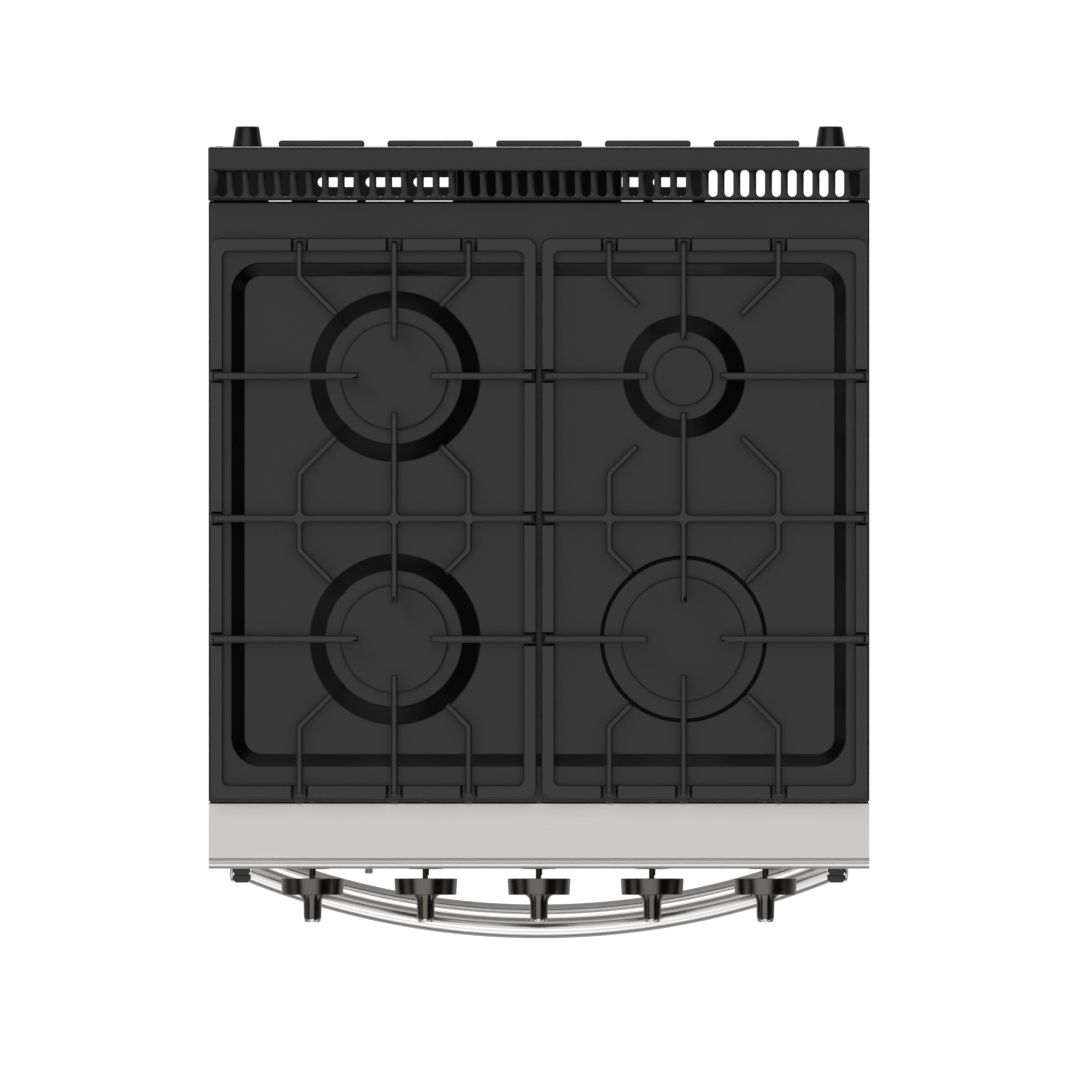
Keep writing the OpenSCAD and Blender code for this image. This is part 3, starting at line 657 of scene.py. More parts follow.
@dataclass(frozen=True)
class HeatTint(Finish):
    """Steel that has been hot, straw and blue in patches."""

    hot: Color = (0.20, 0.16, 0.26)

    def trim(self, graph: Graph) -> None:
        """Lays the heat colours over the steel."""
        patches = graph.remap(graph.noise(22.0, detail=2.0), 0.45, 0.65, 0, 0.7)
        graph.feed("Base Color", graph.blend(patches, graph.color(), self.hot))


@dataclass(frozen=True)
class Glass(Finish):
    """Oven glass, with a printed dark border if its clear pane is given.

    pane is half the width and the lowest and highest edge of the clear part, in metres.
    """

    clear: float = 0.9
    pane: Point3 | None = None

    def trim(self, graph: Graph) -> None:
        """Lets light through the pane only.

        Args:
            graph: The material's nodes.
        """
        graph.hold(IOR=1.5)
        if self.pane is None:
            smudge = graph.remap(graph.noise(14.0), 0.3, 0.7, self.clear - 0.03, self.clear + 0.03)
            graph.feed("Transmission Weight", smudge)
            return
        half, low, high = self.pane
        split = graph.add("SeparateXYZ", {0: graph.place})
        fade = 0.001
        side = graph.remap(graph.math("ABSOLUTE", split.outputs["X"], 0.0), half - fade, half, 1, 0)
        above = graph.remap(split.outputs["Z"], low, low + fade, 0, 1)
        below = graph.remap(split.outputs["Z"], high - fade, high, 1, 0)
        mask = graph.math("MULTIPLY", graph.math("MULTIPLY", side, above), below)
        graph.feed("Transmission Weight", graph.math("MULTIPLY", mask, self.clear))


FINISHES: dict[Slot, Finish] = {
    Slot.BLACK_ENAMEL: Finish((0.0040, 0.0040, 0.0041), (0.0052, 0.0052, 0.0053), 0.25, 0.03,
                              grain=260.0, depth=0.00002, strength=0.05),
    Slot.CAVITY_ENAMEL: SpeckledEnamel((0.018, 0.020, 0.027), (0.024, 0.026, 0.034), 0.3,
                                       grain=200.0, strength=0.12),
    Slot.STAINLESS: BrushedSteel((0.65, 0.632, 0.612), (0.68, 0.66, 0.64), 0.30, 0.03, metal=1.0,
                                 patch=3.0, grain=1400.0, stretch=(0.015, 1, 1), depth=0.00001, strength=0.10),
    Slot.HANDLE_STEEL: Finish((0.68, 0.67, 0.66), (0.73, 0.72, 0.71), 0.2, 0.03, metal=1.0,
                              patch=6.0, grain=900.0, stretch=(0.03, 1, 1), depth=0.00001, strength=0.10),
    Slot.GALVANISED: Spangle((0.42, 0.43, 0.44), (0.52, 0.53, 0.54), 0.42, 0.08, metal=1.0, strength=0.15),
    Slot.BLACK_PAINT: Finish((0.012, 0.012, 0.012), (0.017, 0.017, 0.017), 0.38, grain=900.0, strength=0.3),
    Slot.CAST_IRON: Finish((0.019, 0.019, 0.019), (0.023, 0.023, 0.023), 0.34, 0.05,
                           grain=1300.0, depth=0.00006, strength=0.30),
    Slot.CAP_ENAMEL: Finish((0.024, 0.024, 0.024), (0.027, 0.027, 0.027), 0.46, 0.05,
                            grain=1100.0, strength=0.18),
    Slot.ALUMINIUM: Finish((0.46, 0.47, 0.48), (0.56, 0.57, 0.58), 0.45, 0.08, metal=1.0,
                           grain=1500.0, strength=0.35),
    Slot.PIPE_METAL: Finish((0.58, 0.58, 0.56), (0.66, 0.66, 0.64), 0.3, metal=1.0),
    Slot.BURNER_STEEL: HeatTint((0.34, 0.32, 0.29), (0.42, 0.37, 0.28), 0.4, metal=1.0),
    Slot.CHROME_WIRE: Finish((0.72, 0.73, 0.74), (0.78, 0.79, 0.80), 0.12, 0.04, metal=1.0, strength=0.08),
    Slot.BLACK_NICKEL: Finish((0.13, 0.122, 0.108), (0.16, 0.150, 0.134), 0.2, 0.03, metal=1.0,
                              grain=1500.0, stretch=(1, 1, 0.05), depth=0.00001, strength=0.08),
    Slot.SPINDLE_BLACK: Finish((0.010, 0.010, 0.010), (0.016, 0.016, 0.016), 0.35),
    Slot.BEZEL_STEEL: Finish((0.55, 0.54, 0.52), (0.62, 0.60, 0.58), 0.2, metal=1.0, strength=0.1),
    Slot.RUBBER: Finish((0.010, 0.010, 0.010), (0.014, 0.014, 0.014), 0.30, grain=1600.0, strength=0.2),
    Slot.BLACK_PLASTIC: Finish((0.006, 0.006, 0.006), (0.009, 0.009, 0.009), 0.16, grain=800.0, strength=0.08),
    Slot.BUTTON_PLASTIC: Finish((0.32, 0.32, 0.31), (0.37, 0.37, 0.36), 0.4, grain=1500.0, strength=0.15),
    Slot.ZINC_STEEL: Finish((0.46, 0.46, 0.45), (0.55, 0.55, 0.54), 0.35, metal=1.0),
    Slot.TINTED_GLASS: Glass((0.010, 0.010, 0.011), (0.014, 0.014, 0.015), 0.03, 0.01,
                             grain=40.0, strength=0.01, clear=0.75, pane=(0.185, 0.337, 0.633)),
    Slot.CLEAR_GLASS: Glass((0.80, 0.83, 0.82), (0.84, 0.87, 0.86), 0.03, 0.01, grain=40.0, strength=0.01),
    Slot.GLASS_WOOL: Finish((0.62, 0.52, 0.25), (0.75, 0.66, 0.38), 0.95, 0.02, grain=350.0,
                            stretch=(1, 1, 4), depth=0.002, strength=0.8),
    Slot.GLASS_BRAID: Braid((0.07, 0.065, 0.06), (0.12, 0.11, 0.10), 0.8, depth=0.0006, strength=0.8),
    Slot.CERAMIC: Finish((0.80, 0.77, 0.70), (0.86, 0.83, 0.77), 0.22, strength=0.06),
}


class FinishShelf:
    """Makes each finish once and hands it out."""

    def __init__(self) -> None:
        """Starts with nothing made."""
        self.made: dict[Slot, bpy.types.Material] = {}

    def get(self, slot: Slot) -> bpy.types.Material:
        """The material of that slot."""
        if slot not in self.made:
            self.made[slot] = FINISHES[slot].make(slot.value)
        return self.made[slot]


@dataclass
class Workshop:
    """Turns shapes into dressed pieces that ride on the frame."""

    shelf: FinishShelf

    def piece(self, name: str, shape: Shape, slot: Slot, body: str, nodes: Sequence[str] = (),
              wall: float = 0.0, outward: Vector | None = None, sharp: float = 38.0) -> bpy.types.Object:
        """Makes one piece.

        Args:
            name: The piece's name.
            shape: Its shape, in millimetres.
            slot: Its finish.
            body: The body that it rides on.
            nodes: The frame's solids that it stands for.
            wall: Thickness of a sheet that is given as a surface, in millimetres.
            outward: The side that an open surface looks to.
            sharp: Edges that turn by more than this many degrees stay crisp.

        Returns:
            The object.
        """
        mesh = shape.mesh(name, outward)
        mesh.shade_smooth()
        mesh.set_sharp_from_angle(angle=math.radians(sharp))
        mesh.materials.append(self.shelf.get(slot))
        obj = bpy.data.objects.new(name, mesh)
        bpy.context.scene.collection.objects.link(obj)
        if wall:
            solid = obj.modifiers.new("Sheet", "SOLIDIFY")
            solid.thickness = wall * MM
            solid.offset = -1.0
            solid.use_even_offset = True
        soft = obj.modifiers.new("Shading", "WEIGHTED_NORMAL")
        soft.keep_sharp = True
        soft.weight = 100
        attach(obj, body)
        if nodes:
            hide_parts(*nodes)
        LOG.info("%s: %d faces on %s", name, len(mesh.polygons), body)
        return obj


# ---------------------------------------------------------------- shared profiles


def ramp(length: float, drop: float, fillet: float, steps: int = 4) -> list[Point2]:
    """A pressed slope with a fillet at each end.

    Args:
        length: Width of the slope.
        drop: How far it goes down.
        fillet: Half the width of each fillet.
        steps: Segments in each fillet.

    Returns:
        Points (distance, height) from -fillet to length + fillet.
    """
    fall = drop / length
    marks = [2 * fillet * k / steps for k in range(steps + 1)]
    start = [(m - fillet, -fall * m * m / (4 * fillet)) for m in marks]
    end = [(length - fillet + m, -drop + fall * (2 * fillet - m) ** 2 / (4 * fillet)) for m in marks]
    return start + end


def filleted(path: Sequence[Point2], radius: float, steps: int = 5) -> list[Point2]:
    """Rounds the inner corners of an open path, each with an arc of that many segments."""
    radii, inner = (radius, radius), zip(path, path[1:], path[2:])
    return [path[0], *(p for a, b, c in inner for p in corner(a, b, c, radii, 0.02, steps)), path[-1]]


def folded(shape: Shape, half_width: float, profile: Sequence[Point2]) -> None:
    """Adds a sheet folded along x, from a profile of (y, z) points."""
    shape.loft([[(-half_width, y, z), (half_width, y, z)] for y, z in profile], closed=False, cap=False)


def end_plates(outline: Outline, half_width: float, gap: float) -> Shape:
    """Makes the two plates that close the ends of a folded sheet.

    Args:
        outline: The sheet's profile, closed, counterclockwise in (y, z).
        half_width: Half the width of the sheet.
        gap: How much smaller than the outline they are.

    Returns:
        Both plates.
    """
    ends, thick, proud = Shape(), 1.2, 0.02
    for x in (-half_width, half_width - thick):
        ends.slab([inset(outline, gap)], [], x + proud, x + thick, 0.3, lambda u, v, w: (w, u, v))
    return ends


def split_edge(outline: Outline, level: float, cuts: Sequence[float]) -> Outline:
    """Adds points along one straight edge of an outline.

    Args:
        outline: The outline.
        level: The v of the edge.
        cuts: The u of each new point.

    Returns:
        The outline with its new points.
    """
    result: Outline = []
    for a, b in zip(outline, outline[1:] + outline[:1]):
        result.append(a)
        if a[1] == b[1] == level:
            low, high = sorted((a[0], b[0]))
            result += [(u, level) for u in sorted(cuts, reverse=a[0] > b[0]) if low < u < high]
    return result


def pan(shape: Shape, outline: Outline, front: float, back: float, bend: float, windows: Sequence[Outline],
        place: Place, lip: float = 3.0, notches: Sequence[Point2] = ()) -> None:
    """Adds a sheet face with its edges folded back.

    Args:
        shape: Where to add it.
        outline: Outline of the face, counterclockwise.
        front, back: Level of the face, and of the ends of its folded edges.
        bend: Radius of the folds.
        windows: Windows in the face.
        place: Gives the position of a point (u, v, w).
        lip: Depth of the turned-in edge of each window.
        notches: Stretches of u along the lowest edge where its fold is cut away.
    """
    down = math.copysign(1.0, back - front)
    lowest = min(v for _, v in outline)
    outline = split_edge(outline, lowest, [u for notch in notches for u in notch])
    levels = [(0.0, back)]
    levels += [(bend * (1 - cosine), front + down * bend * (1 - sine)) for sine, cosine in quarter(5)]
    first = len(shape.faces)
    shape.loft([[place(u, v, w) for u, v in inset(outline, d)] for d, w in levels], cap=False)
    fold = [face for face, a, b in zip(shape.faces[first:], outline, outline[1:] + outline[:1])
            if not (a[1] == b[1] == lowest and any(low < (a[0] + b[0]) / 2 < high for low, high in notches))]
    shape.faces[first:first + len(outline)] = fold
    shape.fill([inset(outline, bend)], windows, place, front)
    for window in windows:
        shape.loft([[place(u, v, w) for u, v in window] for w in (front, front + down * lip)], cap=False)


def ribbon(path: Sequence[Point2], width: float) -> Outline:
    """Draws a flat bar that follows a path, mitred at its bends.

    Args:
        path: The middle of the bar.
        width: Its width.

    Returns:
        Its counterclockwise outline.
    """
    edges: list[list[Point2]] = [[], []]
    for i, p in enumerate(path):
        start, end = (path[i - 1], p) if i else (p, path[1])
        a = (Vector(end) - Vector(start)).normalized()
        b = (Vector(path[i + 1]) - Vector(p)).normalized() if i < len(path) - 1 else a
        normal = (Vector((-a.y, a.x)) + Vector((-b.y, b.x))).normalized()
        reach = width / 2 / normal.dot(Vector((-a.y, a.x)))
        for side, sign in ((0, 1), (1, -1)):
            edges[side].append((p[0] + normal.x * reach * sign, p[1] + normal.y * reach * sign))
    return turned_left(edges[0] + edges[1][::-1])


# ---------------------------------------------------------------- cooktop and burners


@dataclass(frozen=True)
class Burner:
    """Place of one burner, the radius of its cap and cup, and the height of its seat."""

    x: float
    y: float
    cap: float
    seat: float
    cup: float


BURNERS: dict[str, Burner] = {
    "rear_left": Burner(-132.8, 143.1, 49.3, 905.0, 36.0),
    "rear_right": Burner(132.8, 143.1, 27.2, 905.0, 18.0),
    "front_left": Burner(-132.8, -98.4, 49.3, 905.0, 36.0),
    "front_right": Burner(132.8, -98.4, 57.2, 897.0, 43.0),
}


@dataclass
class Cooktop:
    """The pressed and enamelled top: a rim, a sunken well and raised burner bosses."""

    shop: Workshop
    half_width: float = 303.5
    front: float = -248.0
    rear: float = 303.6
    rim: float = 905.0
    skirt: float = 25.0
    bend: float = 1.8
    well: Point3 = (282.2, -215.3, 246.9)
    well_radius: float = 27.0
    wall_run: float = 11.2
    depth: float = 8.0
    boss_flat: float = 12.9
    boss_run: float = 16.6
    fillet: float = 1.5
    hole_gap: float = 0.6

    def well_loop(self, step_in: float) -> Outline:
        """The well's outline, moved in from its upper edge."""
        half, front, rear = self.well
        return rounded_rect(step_in - half, half - step_in, front + step_in, rear - step_in,
                            self.well_radius - step_in, 14)

    def boss(self, burner: Burner) -> list[Point2]:
        """The profile of a raised burner boss, from the edge of its hole to its foot."""
        top = burner.cap + self.boss_flat
        return [(top + t, self.rim + dz) for t, dz in ramp(self.boss_run, self.depth, self.fillet)]

    def groove(self, burner: Burner) -> list[Point2]:
        """The profile of the pressed groove round the largest burner's flat seat."""
        start, low = burner.cap + 15.6, self.rim - self.depth
        pressed = ((0, 0), (0.5, 0.3), (1.1, 1.6), (2.1, 2.2), (3.1, 1.6), (3.7, 0.3), (4.2, 0))
        return [(start + t, low - drop) for t, drop in pressed]

    def seat(self, shape: Shape, burner: Burner) -> Outline:
        """Adds the seat of a burner.

        Args:
            shape: Where to add it.
            burner: The burner.

        Returns:
            The outline of its foot in the well.
        """
        hole = burner.cup + self.hole_gap
        raised = burner.seat == self.rim
        level, outside = (self.rim, self.boss) if raised else (self.rim - self.depth, self.groove)
        profile = [(hole, level - 2.0), (hole + 0.3, level - 0.6), (hole + 1.2, level), *outside(burner)]
        shape.lathe(profile, centred(burner.x, burner.y, 0), 96, cap=False)
        return circle(burner.x, burner.y, profile[-1][0], 96)

    def build(self) -> None:
        """Makes the cooktop."""
        shape = Shape()
        outline = rounded_rect(-self.half_width, self.half_width, self.front, self.rear, 2.0, 4)
        slope = ramp(self.wall_run, self.depth, self.fillet)
        pan(shape, outline, self.rim, self.rim - self.skirt, self.bend, [self.well_loop(slope[0][0])],
            flat, 0.0)
        shape.loft([[(x, y, self.rim + dz) for x, y in self.well_loop(t)] for t, dz in slope], cap=False)
        feet = [self.seat(shape, burner) for burner in BURNERS.values()]
        shape.fill([self.well_loop(slope[-1][0])], feet, flat, self.rim - self.depth)
        self.shop.piece("cooktop_sheet", shape, Slot.BLACK_ENAMEL, "chassis", ["cooktop"], wall=1.1,
                        outward=Vector((0, 0, 1)), sharp=60)


@dataclass
class BurnerCaps:
    """The enamelled caps that lie on the burner heads."""

    shop: Workshop
    lift: float = 11.2
    thick: float = 5.0

    def build(self) -> None:
        """Makes the four caps."""
        for name, b in BURNERS.items():
            lug = b.cup - 6.9
            profile = [(0, 0), (lug - 2, 0), (lug - 2, -3), (lug, -3), (lug, 0), (b.cap - 0.9, 0),
                       (b.cap - 0.25, 0.3), (b.cap, 0.9), (b.cap, self.thick - 1.5), (b.cap - 0.3, self.thick - 0.75),
                       (b.cap - 0.9, self.thick - 0.22), (b.cap - 1.8, self.thick), (0, self.thick)]
            shape = Shape()
            shape.lathe(profile, centred(b.x, b.y, b.seat + self.lift), 96)
            self.shop.piece(f"cap_{name}", shape, Slot.CAP_ENAMEL, f"cap_{name}", [f"burner_cap_{name}"])


@dataclass
class PanSupport:
    """One cast-iron pan support: a frame band that dips under each finger, fingers and feet."""

    shop: Workshop
    side: str
    sign: float
    outer: float = 302.2
    inner: float = 2.3
    rear: float = 269.6
    front: float = -244.7
    band: float = 12.0
    band_low: float = 928.0
    band_thick: float = 8.0
    finger: float = 5.9
    cross_finger: float = 6.8
    finger_low: float = 932.0
    finger_top: float = 942.0
    foot_top: float = 912.0
    rim: float = 905.0
    columns: Point3 = (219.9, 132.8, 64.6)
    rows: Point3 = (143.1, 12.4, -98.4)
    middle_ends: tuple[float, ...] = (175.7, 110.1, -65.5, -131.1)
    side_ends: float = 33.2
    elbows: tuple[float, ...] = (233.7, 53.4, -16.6, -178.9)
    end_gap: float = 2.0
    side_gap: float = 0.6
    reach: float = 76.8
    curl: float = 4.6

    def tip(self, centre: Point2, x: float, y: float) -> Point2:
        """Finds where a slanting finger stops short of a burner.

        Args:
            centre: The burner's centre.
            x, y: The elbow that the finger slants from.

        Returns:
            The tip of the finger.
        """
        d = Vector((-1 if x > centre[0] else 1, -1 if y > centre[1] else 1)) / math.sqrt(2)
        p = Vector((x - centre[0], y - centre[1]))
        along = -p.dot(d)
        return tuple(Vector((x, y)) + d * (along - math.sqrt(along ** 2 - p.dot(p) + self.reach ** 2)))

    def finger_bars(self) -> list[Outline]:
        """Outlines of every straight or bent finger."""
        mid, (back, centre, fore) = self.columns[1], self.rows
        x_in, x_out = self.inner + self.side_gap, self.outer - self.side_gap
        y_rear, y_front = self.rear - self.end_gap, self.front + self.end_gap
        m, e, rear, front = self.middle_ends, self.elbows, (mid, back), (mid, fore)
        paths: list[list[Point2]] = [
            [(mid, m[0]), (mid, y_rear)], [(mid, m[2]), (mid, m[1])], [(mid, y_front), (mid, m[3])],
            [(x_in, centre), (x_out, centre)]]
        for y in (back, fore):
            paths += [[(x_in, y), (mid - self.side_ends, y)], [(mid + self.side_ends, y), (x_out, y)]]
        for x in (self.columns[0], self.columns[2]):
            paths += [[(x, y_rear), (x, e[0]), self.tip(rear, x, e[0])],
                      [self.tip(rear, x, e[1]), (x, e[1]), (x, e[2]), self.tip(front, x, e[2])],
                      [(x, y_front), (x, e[3]), self.tip(front, x, e[3])]]
        return [ribbon(p, self.cross_finger if p[0][1] == p[-1][1] else self.finger) for p in paths]

    def from_end(self, x: float, y: float) -> float:
        """Distance to the outer end of the finger that (x, y) is on."""
        return min(self.rear - self.end_gap - y, y - self.front - self.end_gap,
                   self.outer - self.side_gap - x, x - self.inner - self.side_gap)

    def curled(self, x: float, y: float, z: float) -> Point3:
        """Bends the outer ends of the fingers down."""
        d = min(max(self.from_end(x, y), 0.0), self.curl)
        drop = self.curl - math.sqrt(self.curl ** 2 - (self.curl - d) ** 2)
        return (x, y, z - drop)

    def fingers(self) -> Shape:
        """The fingers, cast as one lattice."""
        shape = Shape()
        loops = []
        for loop in joined(self.finger_bars()):
            loop = stepped(softened(loop, 1.3, 3.6), 9.0)
            fine: Outline = []
            for a, b in zip(loop, loop[1:] + loop[:1]):
                near = min(self.from_end(*a), self.from_end(*b)) < self.curl + 1
                fine += divided(a, b, max(1, math.ceil(math.dist(a, b) / 0.8)) if near else 1)
            loops.append(fine)
        outers = [p for p in loops if turned_left(p) == p]
        holes = [p for p in loops if turned_left(p) != p]
        shape.slab(outers, holes, self.finger_low, self.finger_top, 1.7, flat)
        shape.bent(self.curled)
        return shape

    def dip(self, x: float, y: float, z: float) -> Point3:
        """Lowers the band where a finger crosses it.

        Args:
            x, y, z: A point of the straight band.

        Returns:
            The point, lowered by a smooth amount.
        """
        depth = self.band_low - self.foot_top
        fall = 0.0
        across = min(y - self.front, self.rear - y) < self.band + 0.5
        along = min(x - self.inner, self.outer - x) < self.band + 0.5
        sides = ((across, x, self.columns, 7.8, 1.9), (along, y, self.rows, 6.3, 1.6))
        for near, at, centres, half, run in sides:
            for centre in centres if near else ():
                fall = max(fall, min(1.0, max(0.0, (half - abs(at - centre)) / run)))
        smooth = fall * fall * (3 - 2 * fall)
        return (x, y, z - depth * smooth)

    def band_loop(self, grow: float, radius: float) -> Outline:
        """Draws one side of the band, with close points at the dips.

        Args:
            grow: How far it lies inside the band's outer edge.
            radius: Radius of its corners.

        Returns:
            A counterclockwise outline.
        """
        loop = rounded_rect(self.inner + grow, self.outer - grow, self.front + grow, self.rear - grow,
                            radius, 8)
        out: Outline = []
        for a, b in zip(loop, loop[1:] + loop[:1]):
            marks = {0.0}
            length = math.dist(a, b)
            axis, centres = (0, self.columns) if abs(a[1] - b[1]) < 1e-6 else (1, self.rows)
            if length > 20:
                for centre in centres:
                    middle = (centre - a[axis]) / (b[axis] - a[axis])
                    marks.update(middle + 0.4 * k / length for k in range(-22, 23))
            out += [(a[0] + (b[0] - a[0]) * t, a[1] + (b[1] - a[1]) * t) for t in sorted(marks)]
        return out

    def frame_band(self) -> Shape:
        """The band round the edge."""
        shape = Shape()
        shape.slab([self.band_loop(0, 9.0)], [self.band_loop(self.band, 5.5)], self.band_low,
                   self.band_low + self.band_thick, 1.3, flat)
        shape.bent(self.dip)
        half, low, high, edge = self.finger / 2 - 0.25, self.foot_top + 2, self.finger_low + 1, 0.8
        step = self.band - 0.3
        for x in self.columns:
            for y0, y1 in ((self.rear - step, self.rear - 2.6), (self.front + 2.6, self.front + step)):
                shape.block(x - half, x + half, y0, y1, low, high, edge)
        for y in self.rows:
            for x0, x1 in ((self.outer - step, self.outer - 1.6), (self.inner + 1.6, self.inner + step)):
                shape.block(x0, x1, y - half, y + half, low, high, edge)
        return shape

    def feet(self) -> Shape:
        """The soft feet under the dips."""
        shape = Shape()
        profile = [(0, 0), (5.2, 0), (5.8, 0.3), (6, 0.9), (6, 6.2), (5.6, 6.8), (0, 7)]
        for x in self.columns:
            for y in (self.front + 0.9, self.rear - 5):
                shape.lathe(profile, centred(x, y, self.rim), 40)
        return shape

    def build(self) -> None:
        """Makes the support on its side of the cooktop."""
        body = f"grate_{self.side}"
        iron, feet = self.fingers(), self.feet()
        iron.add(self.frame_band())
        for shape in (iron, feet):
            shape.bent(lambda x, y, z: (self.sign * x, y, z))
        self.shop.piece(f"pan_support_{self.side}", iron, Slot.CAST_IRON, body, [f"grate_{self.side}"])
        self.shop.piece(f"pan_support_feet_{self.side}", feet, Slot.RUBBER, body, [f"grate_feet_{self.side}"])


# ---------------------------------------------------------------- backguard and rear


@dataclass
class Backguard:
    """The raised rear guard with its row of vent slots."""

    shop: Workshop
    half_width: float = 303.5
    front: float = 304.5
    crease: float = 334.0
    back: float = 352.5
    low: float = 880.0
    front_top: float = 955.0
    top: float = 960.0
    bend: float = 2.0
    slots: int = 41
    pitch: float = 14.52
    slot: Point3 = (319.65, 24.5, 7.9)

    def height(self, y: float) -> float:
        """Height of the top sheet at depth y."""
        rise = min(max((y - self.front) / (self.crease - self.front), 0.0), 1.0)
        return self.front_top + (self.top - self.front_top) * rise

    def profile(self) -> list[Point2]:
        """The sheet's profile from its front foot to its rear hem."""
        return filleted([(self.front, self.low), (self.front, self.front_top), (self.crease, self.top),
                         (self.back, self.top), (self.back, self.top - 12)], self.bend, 4)

    def build(self) -> None:
        """Makes the slotted sheet and its two ends."""
        profile = self.profile()
        flat_from = next(i for i, (y, z) in enumerate(profile) if y > self.front + self.bend * 0.8) + 1
        flat_to = next(i for i, (y, z) in enumerate(profile) if y >= self.crease - 0.01)
        shape = Shape()
        w = self.half_width
        folded(shape, w, profile[:flat_from])
        folded(shape, w, profile[flat_to:])
        y0, y1 = profile[flat_from - 1][0], profile[flat_to][0]
        reach = self.slots // 2
        cuts = [slot_outline(i * self.pitch, *self.slot) for i in range(-reach, reach + 1)]
        sheet = [(-w, y0), (w, y0), (w, y1), (-w, y1)]
        z0, z1 = profile[flat_from - 1][1], profile[flat_to][1]
        shape.fill([sheet], cuts, lambda u, v, _: (u, v, z0 + (z1 - z0) * (v - y0) / (y1 - y0)))
        self.shop.piece("backguard_sheet", shape, Slot.BLACK_ENAMEL, "chassis", ["backguard"], wall=1.2,
                        outward=Vector((0, 0, 1)), sharp=50)
        ends = end_plates(turned_left([*profile, (self.back, self.low)]), w, 0.15)
        self.shop.piece("backguard_ends", ends, Slot.BLACK_ENAMEL, "chassis")


@dataclass
class RearTrim:
    """What stands out behind the back panel: vent hoods and wall bumpers."""

    shop: Workshop
    panel_rear: float = 353.5
    hood: Point3 = (79.0, 6.5, 26.0)
    hood_low: float = 842.0
    bumper_x: float = 268.5
    bumper_z: float = 800.0

    def hoods(self) -> Shape:
        """Five moulded vent hoods, open below."""
        shape = Shape()
        width, depth, height = self.hood
        for x in range(-200, 201, 100):
            half, rear, out = width / 2, self.panel_rear, self.panel_rear + depth
            outline = softened([(x - half, rear), (x + half, rear), (x + half, out), (x - half, out)], 4.4, 0)
            outline = [(u, max(v, rear + 0.02)) for u, v in outline]
            inner = [(x - half + 2, rear + 0.3), (x + half - 2, rear + 0.3), (x + half - 3, out - 1.6),
                     (x - half + 3, out - 1.6)]
            top = self.hood_low + height
            shape.slab([outline], [], top - 2.2, top, 0.9, flat)
            shape.slab([outline], [inner], self.hood_low, top - 1.2, 0.25, flat)
        return shape

    def bumpers(self) -> Shape:
        """Two soft bumpers that keep the range off the wall."""
        shape = Shape()
        profile = [(0, 0), (13.2, 0), (13.8, 0.5), (13.6, 1.6), (11.1, 17.8), (10.7, 19.2), (9.6, 20), (5, 20),
                   (4.2, 19.5), (4, 17), (0, 17)]
        for x in (-self.bumper_x, self.bumper_x):
            shape.lathe(profile, lambda u, v, w: (x + u, self.panel_rear + w, self.bumper_z + v), 48)
        return shape

    def build(self) -> None:
        """Makes the hoods and bumpers."""
        self.shop.piece("vent_hoods", self.hoods(), Slot.BLACK_PLASTIC, "chassis", ["rear_louvres"])
        self.shop.piece("wall_bumpers", self.bumpers(), Slot.RUBBER, "chassis", ["rear_bumpers"])


# ---------------------------------------------------------------- controls


@dataclass
class ControlPanel:
    """The steel panel that covers the valves, folded along its top edge."""

    shop: Workshop
    half_width: float = 303.5
    rear: float = -249.0
    top: float = 899.0
    low: float = 777.0
    bend: float = 7.4
    notch: Point2 = (-262.4, 881.0)

    def crease(self) -> list[Point2]:
        """The shallow crease pressed where the flat top meets the rounded nose."""
        middle, half, deep = PANEL_FACE + self.bend + 1.3, 1.1, 2.2
        dip = [(middle + half * (1 - k / 4), self.top - deep * math.sin(math.pi * k / 8) ** 2)
               for k in range(9)]
        return [(middle + 1.8, self.top), (middle + 1.2, self.top), *dip]

    def build(self) -> None:
        """Makes the folded panel and its two end plates."""
        edge, lip = (PANEL_FACE, self.top), (PANEL_FACE, self.low)
        path = [(self.rear, self.top - 14), (self.rear, self.top), edge, lip, (lip[0] + 16, self.low)]
        start, rest = filleted(path[:3], 0.9, 3)[:-1], filleted(path[1:4], self.bend, 14)[1:-1]
        start += self.crease()
        rest.append((lip[0], self.top - self.bend - 0.8))
        profile = start + rest + filleted(path[2:], 1.1, 4)[1:]
        shape = Shape()
        folded(shape, self.half_width, profile)
        self.shop.piece("panel_sheet", shape, Slot.STAINLESS, "chassis", ["control_panel"], wall=1.2,
                        outward=Vector((0, -1, 1)), sharp=50)
        y, z = self.notch
        outline = turned_left([*profile[1:-1], (y, self.low), (y, z), (self.rear, z)])
        ends = end_plates(outline, self.half_width, 0.12)
        self.shop.piece("panel_ends", ends, Slot.STAINLESS, "chassis")


